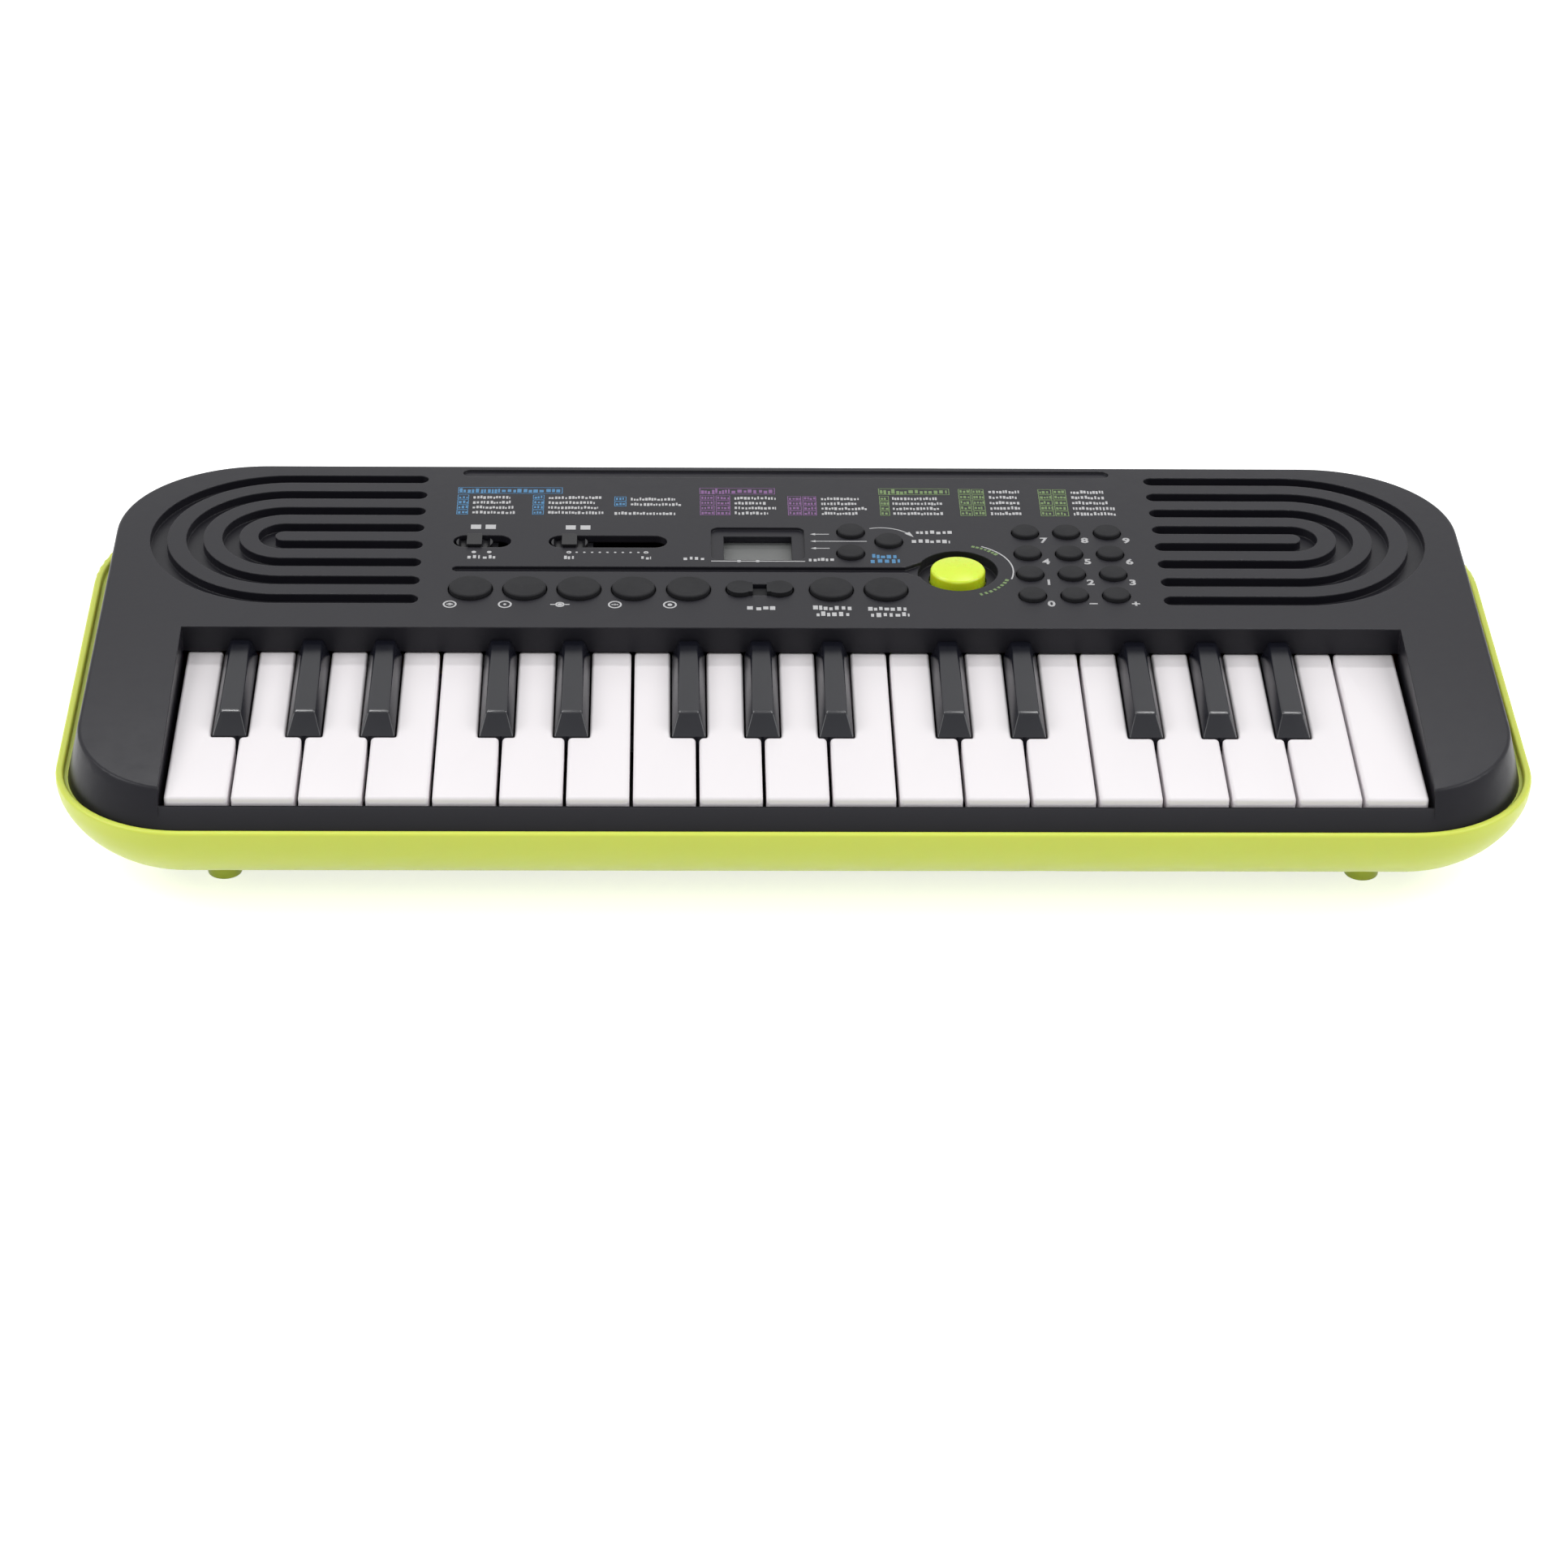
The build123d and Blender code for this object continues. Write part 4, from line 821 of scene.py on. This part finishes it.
class KEYBOARD_OT_print(bpy.types.Operator):
    """Lay the printed marks on the panel: lists as blocks, scales, arrows and figures"""

    bl_idname = "keyboard.print"
    bl_label = "Printed marks"

    def execute(self, context):
        finish = context.scene.keyboard_finish
        lift = context.scene.keyboard_sizes.ink
        random = np.random.default_rng(7)
        white, blue, violet, green = Ink(lift), Ink(lift), Ink(lift), Ink(lift)
        self.lists(white, blue, violet, green, random)
        self.scales(white, random)
        self.display_marks(white, blue, random)
        self.button_marks(white, green, random)
        inks = (("print_white", white, (0.50, 0.50, 0.51)), ("print_blue", blue, finish.blue),
                ("print_violet", violet, finish.violet), ("print_green", green, finish.green))
        for name, ink, colour in inks:
            material = plastic(name.replace("_", " ") + " ink", colour, 0.5, grain=0.6, mottle=0.1)
            ink.finish(name, material)
        self.figures(white, lift)
        return {"FINISHED"}

    @staticmethod
    def table(ink, white, numbers, text, top, bottom, rows, columns, random):
        """A list: rows of coloured number blocks in columns, each with a line of white marks."""
        pitch = (top - bottom) / rows
        cell = (numbers[1] - numbers[0]) / columns
        for row in range(rows):
            y = top - pitch * (row + 1)
            for column in range(columns):
                x = numbers[0] + cell * column
                ink.frame(x, x + cell * 0.92, y + pitch * 0.06, y + pitch * 0.98)
                ink.words(x + 0.5, x + cell * 0.86, y + pitch * 0.28, pitch * 0.5, random, 0.9)
            white.words(text[0], text[1] - random.uniform(0, 4), y + pitch * 0.22, pitch * 0.56, random)

    @staticmethod
    def heading(ink, x0, x1, random):
        """A list's heading: a framed tab filled with marks, then a line of larger marks."""
        tab = x0 + (x1 - x0) * 0.4
        ink.frame(x0, x1, 78.5, 83.0)
        ink.words(x0 + 0.5, tab, 79.0, 3.2, random, 1.1)
        ink.words(tab + 0.6, x1 - 0.8, 79.4, 2.6, random, 1.5)

    def lists(self, white, blue, violet, green, random):
        """Three coloured lists behind the controls, each with a heading."""
        self.heading(blue, -106.9, -73.0, random)
        self.table(blue, white, (-106.9, -102.9), (-101.8, -86.0), 77.6, 63.4, 4, 1, random)
        self.table(blue, white, (-82.5, -78.5), (-77.4, -58.6), 77.6, 63.4, 4, 1, random)
        self.table(blue, white, (-56.1, -51.9), (-50.8, -33.5), 76.6, 69.4, 2, 1, random)
        white.words(-56.0, -36.4, 63.8, 2.0, random)
        self.heading(violet, -28.5, -4.0, random)
        self.table(violet, white, (-28.4, -18.2), (-17.2, -3.6), 77.6, 63.4, 4, 2, random)
        self.table(violet, white, (0.0, 9.7), (10.9, 26.0), 77.2, 63.4, 4, 2, random)
        self.heading(green, 29.7, 52.8, random)
        self.table(green, white, (29.8, 33.2), (34.0, 51.6), 77.6, 63.4, 4, 1, random)
        self.table(green, white, (55.7, 64.4), (65.6, 78.2), 82.8, 63.4, 5, 2, random)
        self.table(green, white, (81.7, 91.2), (92.4, 107.0), 82.8, 63.4, 5, 2, random)

    @staticmethod
    def scales(white, random):
        """Marks beside the power slot and the volume slot."""
        for x in (-101.9, -97.2):
            white.bar(x, x + 3.3, 53.6, 56.5)
        for x in (-71.5, -66.8):
            white.bar(x, x + 3.2, 53.4, 56.2)
        for x in (-100.4, -95.5):
            white.dot(x, 38.2, 0.75)
            white.words(x - 1.9, x + 2.0, 34.0, 2.2, random, 1.2)
        for x in np.linspace(-70.2, -45.7, 11):
            white.dot(x, 38.2, 0.42, 10)
        for x in (-70.2, -45.7):
            white.dot(x, 38.2, 0.8)
            white.words(x - 1.5, x + 1.6, 33.8, 2.2, random, 1.2)

    @staticmethod
    def display_marks(white, blue, random):
        """Lines, arrows and a curved pointer around the display."""
        white.bar(-25.0, 4.8, 32.5, 32.95)
        for x in (-16.2, -10.3):
            white.dot(x, 32.75, 0.7)
        white.words(-33.8, -26.4, 33.6, 2.2, random, 1.5)
        white.words(6.0, 14.6, 32.9, 2.0, random, 1.2)
        for end, y in ((12.8, 50.7), (24.8, 46.0), (12.8, 41.3)):
            white.bar(7.6, end, y - 0.2, y + 0.2)
            white.plate([(6.7, y), (8.4, y - 0.7), (8.4, y + 0.7)])
        white.arc(29.5, 43.6, 11.6, 0.4, 108, 40, 20)
        white.plate([(39.9, 49.0), (37.1, 51.2), (38.7, 52.4)])
        white.words(40.8, 52.4, 51.2, 2.4, random, 1.5)
        white.words(39.2, 51.4, 45.0, 2.4, random, 1.5)
        blue.words(26.2, 34.9, 35.0, 2.4, random, 1.6)
        blue.words(25.6, 34.9, 31.8, 2.6, random, 1.8)

    @staticmethod
    def button_marks(white, green, random):
        """Small signs under the pads and words under the other buttons."""
        for number, x in enumerate(np.linspace(-106.8, -38.1, 5)):
            y = 5.3
            white.arc(x, y, 1.9 if number != 2 else 1.2, 0.55, 0, 360, 28)
            white.dot(x, y, 0.75 if number % 2 == 0 else 0.5)
            if number == 2:
                white.bar(x - 3.0, x - 1.3, y - 0.25, y + 0.25)
                white.bar(x + 1.3, x + 3.0, y - 0.25, y + 0.25)
            if number in (0, 3):
                white.bar(x - 1.1, x + 1.1, y - 0.25, y + 0.25)
        white.words(-14.0, -5.2, 2.4, 2.8, random, 2.0)
        white.words(6.6, 18.6, 2.4, 2.6, random, 1.6)
        white.words(7.6, 17.8, -1.4, 2.6, random, 1.6)
        white.words(23.8, 36.2, 2.2, 2.6, random, 1.6)
        white.words(24.6, 36.6, -1.5, 2.6, random, 1.6)
        white.arc(53.0, 27.2, 17.6, 0.45, 62, -18, 30)
        for angle in np.concatenate([np.linspace(70, 40, 7), np.linspace(-22, -66, 8)]):
            turn = math.radians(angle)
            middle = np.array([53.0 + 16.4 * math.cos(turn), 27.2 + 16.4 * math.sin(turn)])
            along = np.array([-math.sin(turn), math.cos(turn)]) * random.uniform(0.4, 0.6)
            out = np.array([math.cos(turn), math.sin(turn)]) * random.uniform(0.45, 0.7)
            green.plate([middle - along - out, middle + along - out, middle + along + out,
                         middle - along + out])

    @staticmethod
    def figures(white, lift):
        """The number pad's figures, right of and in front of each cap."""
        names = (("7", "8", "9"), ("4", "5", "6"), ("1", "2", "3"), ("0", "−", "+"))
        columns = np.array([81.4, 94.6, 107.9])
        rows = np.array([46.9, 32.9, 19.7, 6.4])
        parts = []
        for y, line in zip(rows, names):
            for x, text in zip(columns, line):
                plan, faces = figure_outline(text, 4.6)
                place_x = (plan[:, 0] * 1.05 + x) * MM
                place_y = (plan[:, 1] + y) * MM + PANEL_FRONT
                parts.append((np.column_stack([place_x, place_y, crown(place_y) + lift]), faces))
        points, faces = join(parts)
        piece = place_mesh("print_figures", points, faces, bpy.data.materials["print white ink"], None,
                           "case", smooth=20)
        solid = piece.modifiers.new("Ink depth", "SOLIDIFY")
        solid.thickness = 0.08 * MM
        solid.offset = -1.0


# ------------------------------------------------------------ stage
def seen_rays(tree):
    """1 for rays from the camera, off gloss or through glass, 0 for light that bounces softly."""
    path = add(tree, "ShaderNodeLightPath")
    gloss_or_glass = maths(tree, "MAXIMUM", path.outputs["Is Glossy Ray"],
                           path.outputs["Is Transmission Ray"])
    return maths(tree, "MAXIMUM", path.outputs["Is Camera Ray"], gloss_or_glass)


class KEYBOARD_OT_stage(bpy.types.Operator):
    """Set the floor, soft lamps, white background and camera"""

    bl_idname = "keyboard.stage"
    bl_label = "Stage"

    def execute(self, context):
        self.floor()
        self.lamp("Left lamp", (-1.7, -0.1, 1.7), (1.4, 1.4), 20.5)
        self.lamp("Right lamp", (1.7, -0.1, 1.7), (1.4, 1.4), 20.5)
        self.lamp("Front lamp", (0.0, -1.5, 1.9), (1.8, 0.8), 8.5)
        for side in (-1, 1):
            self.lamp("Edge lamp", (0.36 * side, 1.3, 1.75), (0.24, 0.16), 4.5)
        self.world(context.scene)
        self.camera(context.scene)
        context.scene.view_settings.view_transform = "Standard"
        return {"FINISHED"}

    @staticmethod
    def white_to_camera(tree, shader_socket, output):
        """Shows plain white to the camera, in gloss and through glass, and the given shader elsewhere."""
        seen = seen_rays(tree)
        white = add(tree, "ShaderNodeBackground")
        white.inputs["Strength"].default_value = 1.0
        mix = add(tree, "ShaderNodeMixShader")
        tree.links.new(seen, mix.inputs[0])
        tree.links.new(shader_socket, mix.inputs[1])
        tree.links.new(white.outputs[0], mix.inputs[2])
        tree.links.new(mix.outputs[0], output)

    def floor(self):
        """A wide pale floor just under the feet."""
        half = 6.0
        mesh = bpy.data.meshes.new("floor")
        corners = [(-half, -half, 0), (half, -half, 0), (half, half, 0), (-half, half, 0)]
        mesh.from_pydata(corners, [], [(0, 1, 2, 3)])
        floor = bpy.data.objects.new("floor", mesh)
        bpy.context.scene.collection.objects.link(floor)
        material = bpy.data.materials.new("Floor")
        material.use_nodes = True
        tree = material.node_tree
        shader = tree.nodes["Principled BSDF"]
        shader.inputs["Base Color"].default_value = (0.86, 0.86, 0.86, 1)
        shader.inputs["Roughness"].default_value = 0.8
        shader.inputs["Specular IOR Level"].default_value = 0.1
        glow = add(tree, "ShaderNodeEmission")
        glow.inputs["Strength"].default_value = 0.7
        both = add(tree, "ShaderNodeAddShader")
        mix = add(tree, "ShaderNodeMixShader")
        tree.links.new(shader.outputs[0], both.inputs[0])
        tree.links.new(glow.outputs[0], both.inputs[1])
        tree.links.new(seen_rays(tree), mix.inputs[0])
        tree.links.new(shader.outputs[0], mix.inputs[1])
        tree.links.new(both.outputs[0], mix.inputs[2])
        tree.links.new(mix.outputs[0], tree.nodes["Material Output"].inputs["Surface"])
        mesh.materials.append(material)

    @staticmethod
    def lamp(name, place, size, energy):
        """A soft rectangular lamp that faces the middle of the case."""
        light = bpy.data.lights.new(name, "AREA")
        light.shape = "RECTANGLE"
        light.size, light.size_y = size
        light.energy = energy
        lamp = bpy.data.objects.new(name, light)
        bpy.context.scene.collection.objects.link(lamp)
        lamp.location = place
        aim = Vector((0, 0, 0.03)) - Vector(place)
        lamp.rotation_euler = aim.to_track_quat("-Z", "Y").to_euler()

    def world(self, scene):
        """Soft light from all round, seen as white by the camera."""
        world = bpy.data.worlds.new("Studio")
        scene.world = world
        world.use_nodes = True
        tree = world.node_tree
        light = tree.nodes["Background"]
        light.inputs["Color"].default_value = (1.0, 1.0, 1.0, 1)
        light.inputs["Strength"].default_value = 0.33
        self.white_to_camera(tree, light.outputs[0], tree.nodes["World Output"].inputs["Surface"])

    @staticmethod
    def camera(scene):
        """A long lens above and in front, turned a little and rolled a little."""
        lift, yaw, roll = math.radians(31.0), math.radians(1.5694), math.radians(0.9143)
        place = Vector((-38.73, -1351.642, 800.57)) * MM
        ahead = Vector((math.sin(yaw) * math.cos(lift), math.cos(yaw) * math.cos(lift), -math.sin(lift)))
        right = Vector((math.cos(yaw), -math.sin(yaw), 0))
        up = right.cross(ahead)
        turned_right = right * math.cos(roll) + up * math.sin(roll)
        turned_up = up * math.cos(roll) - right * math.sin(roll)
        data = bpy.data.cameras.new("Camera")
        data.sensor_width = 36.0
        data.lens = 113.86
        data.clip_end = 50.0
        camera = bpy.data.objects.new("Camera", data)
        bpy.context.scene.collection.objects.link(camera)
        turn = Matrix((turned_right, turned_up, -ahead)).transposed().to_4x4()
        camera.matrix_world = Matrix.Translation(place) @ turn
        scene.camera = camera


class KEYBOARD_PT_panel(bpy.types.Panel):
    """Sidebar panel that lists the keyboard's operators and values"""

    bl_idname = "KEYBOARD_PT_panel"
    bl_label = "Toy Keyboard"
    bl_space_type = "VIEW_3D"
    bl_region_type = "UI"
    bl_category = "Keyboard"

    def draw(self, context):
        column = self.layout.column(align=True)
        for operator in OPERATORS:
            column.operator(operator.bl_idname)
        for group in (context.scene.keyboard_finish, context.scene.keyboard_sizes):
            box = self.layout.box()
            for name in group.__annotations__:
                box.prop(group, name)


OPERATORS = (KEYBOARD_OT_stage, KEYBOARD_OT_lid, KEYBOARD_OT_tub, KEYBOARD_OT_white_keys,
             KEYBOARD_OT_black_keys, KEYBOARD_OT_buttons, KEYBOARD_OT_slides, KEYBOARD_OT_display,
             KEYBOARD_OT_insides, KEYBOARD_OT_print)
CLASSES = (KeyboardFinish, KeyboardSizes, *OPERATORS, KEYBOARD_PT_panel)


def register():
    """Registers the classes and hangs the property groups on the scene."""
    for cls in CLASSES:
        bpy.utils.register_class(cls)
    bpy.types.Scene.keyboard_finish = bpy.props.PointerProperty(type=KeyboardFinish)
    bpy.types.Scene.keyboard_sizes = bpy.props.PointerProperty(type=KeyboardSizes)


def unregister():
    """Undoes register."""
    del bpy.types.Scene.keyboard_sizes
    del bpy.types.Scene.keyboard_finish
    for cls in reversed(CLASSES):
        bpy.utils.unregister_class(cls)


def main():
    """Builds everything."""
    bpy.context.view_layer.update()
    register()
    for operator in OPERATORS:
        group, name = operator.bl_idname.split(".")
        getattr(getattr(bpy.ops, group), name)()


if __name__ == "__main__":
    main()
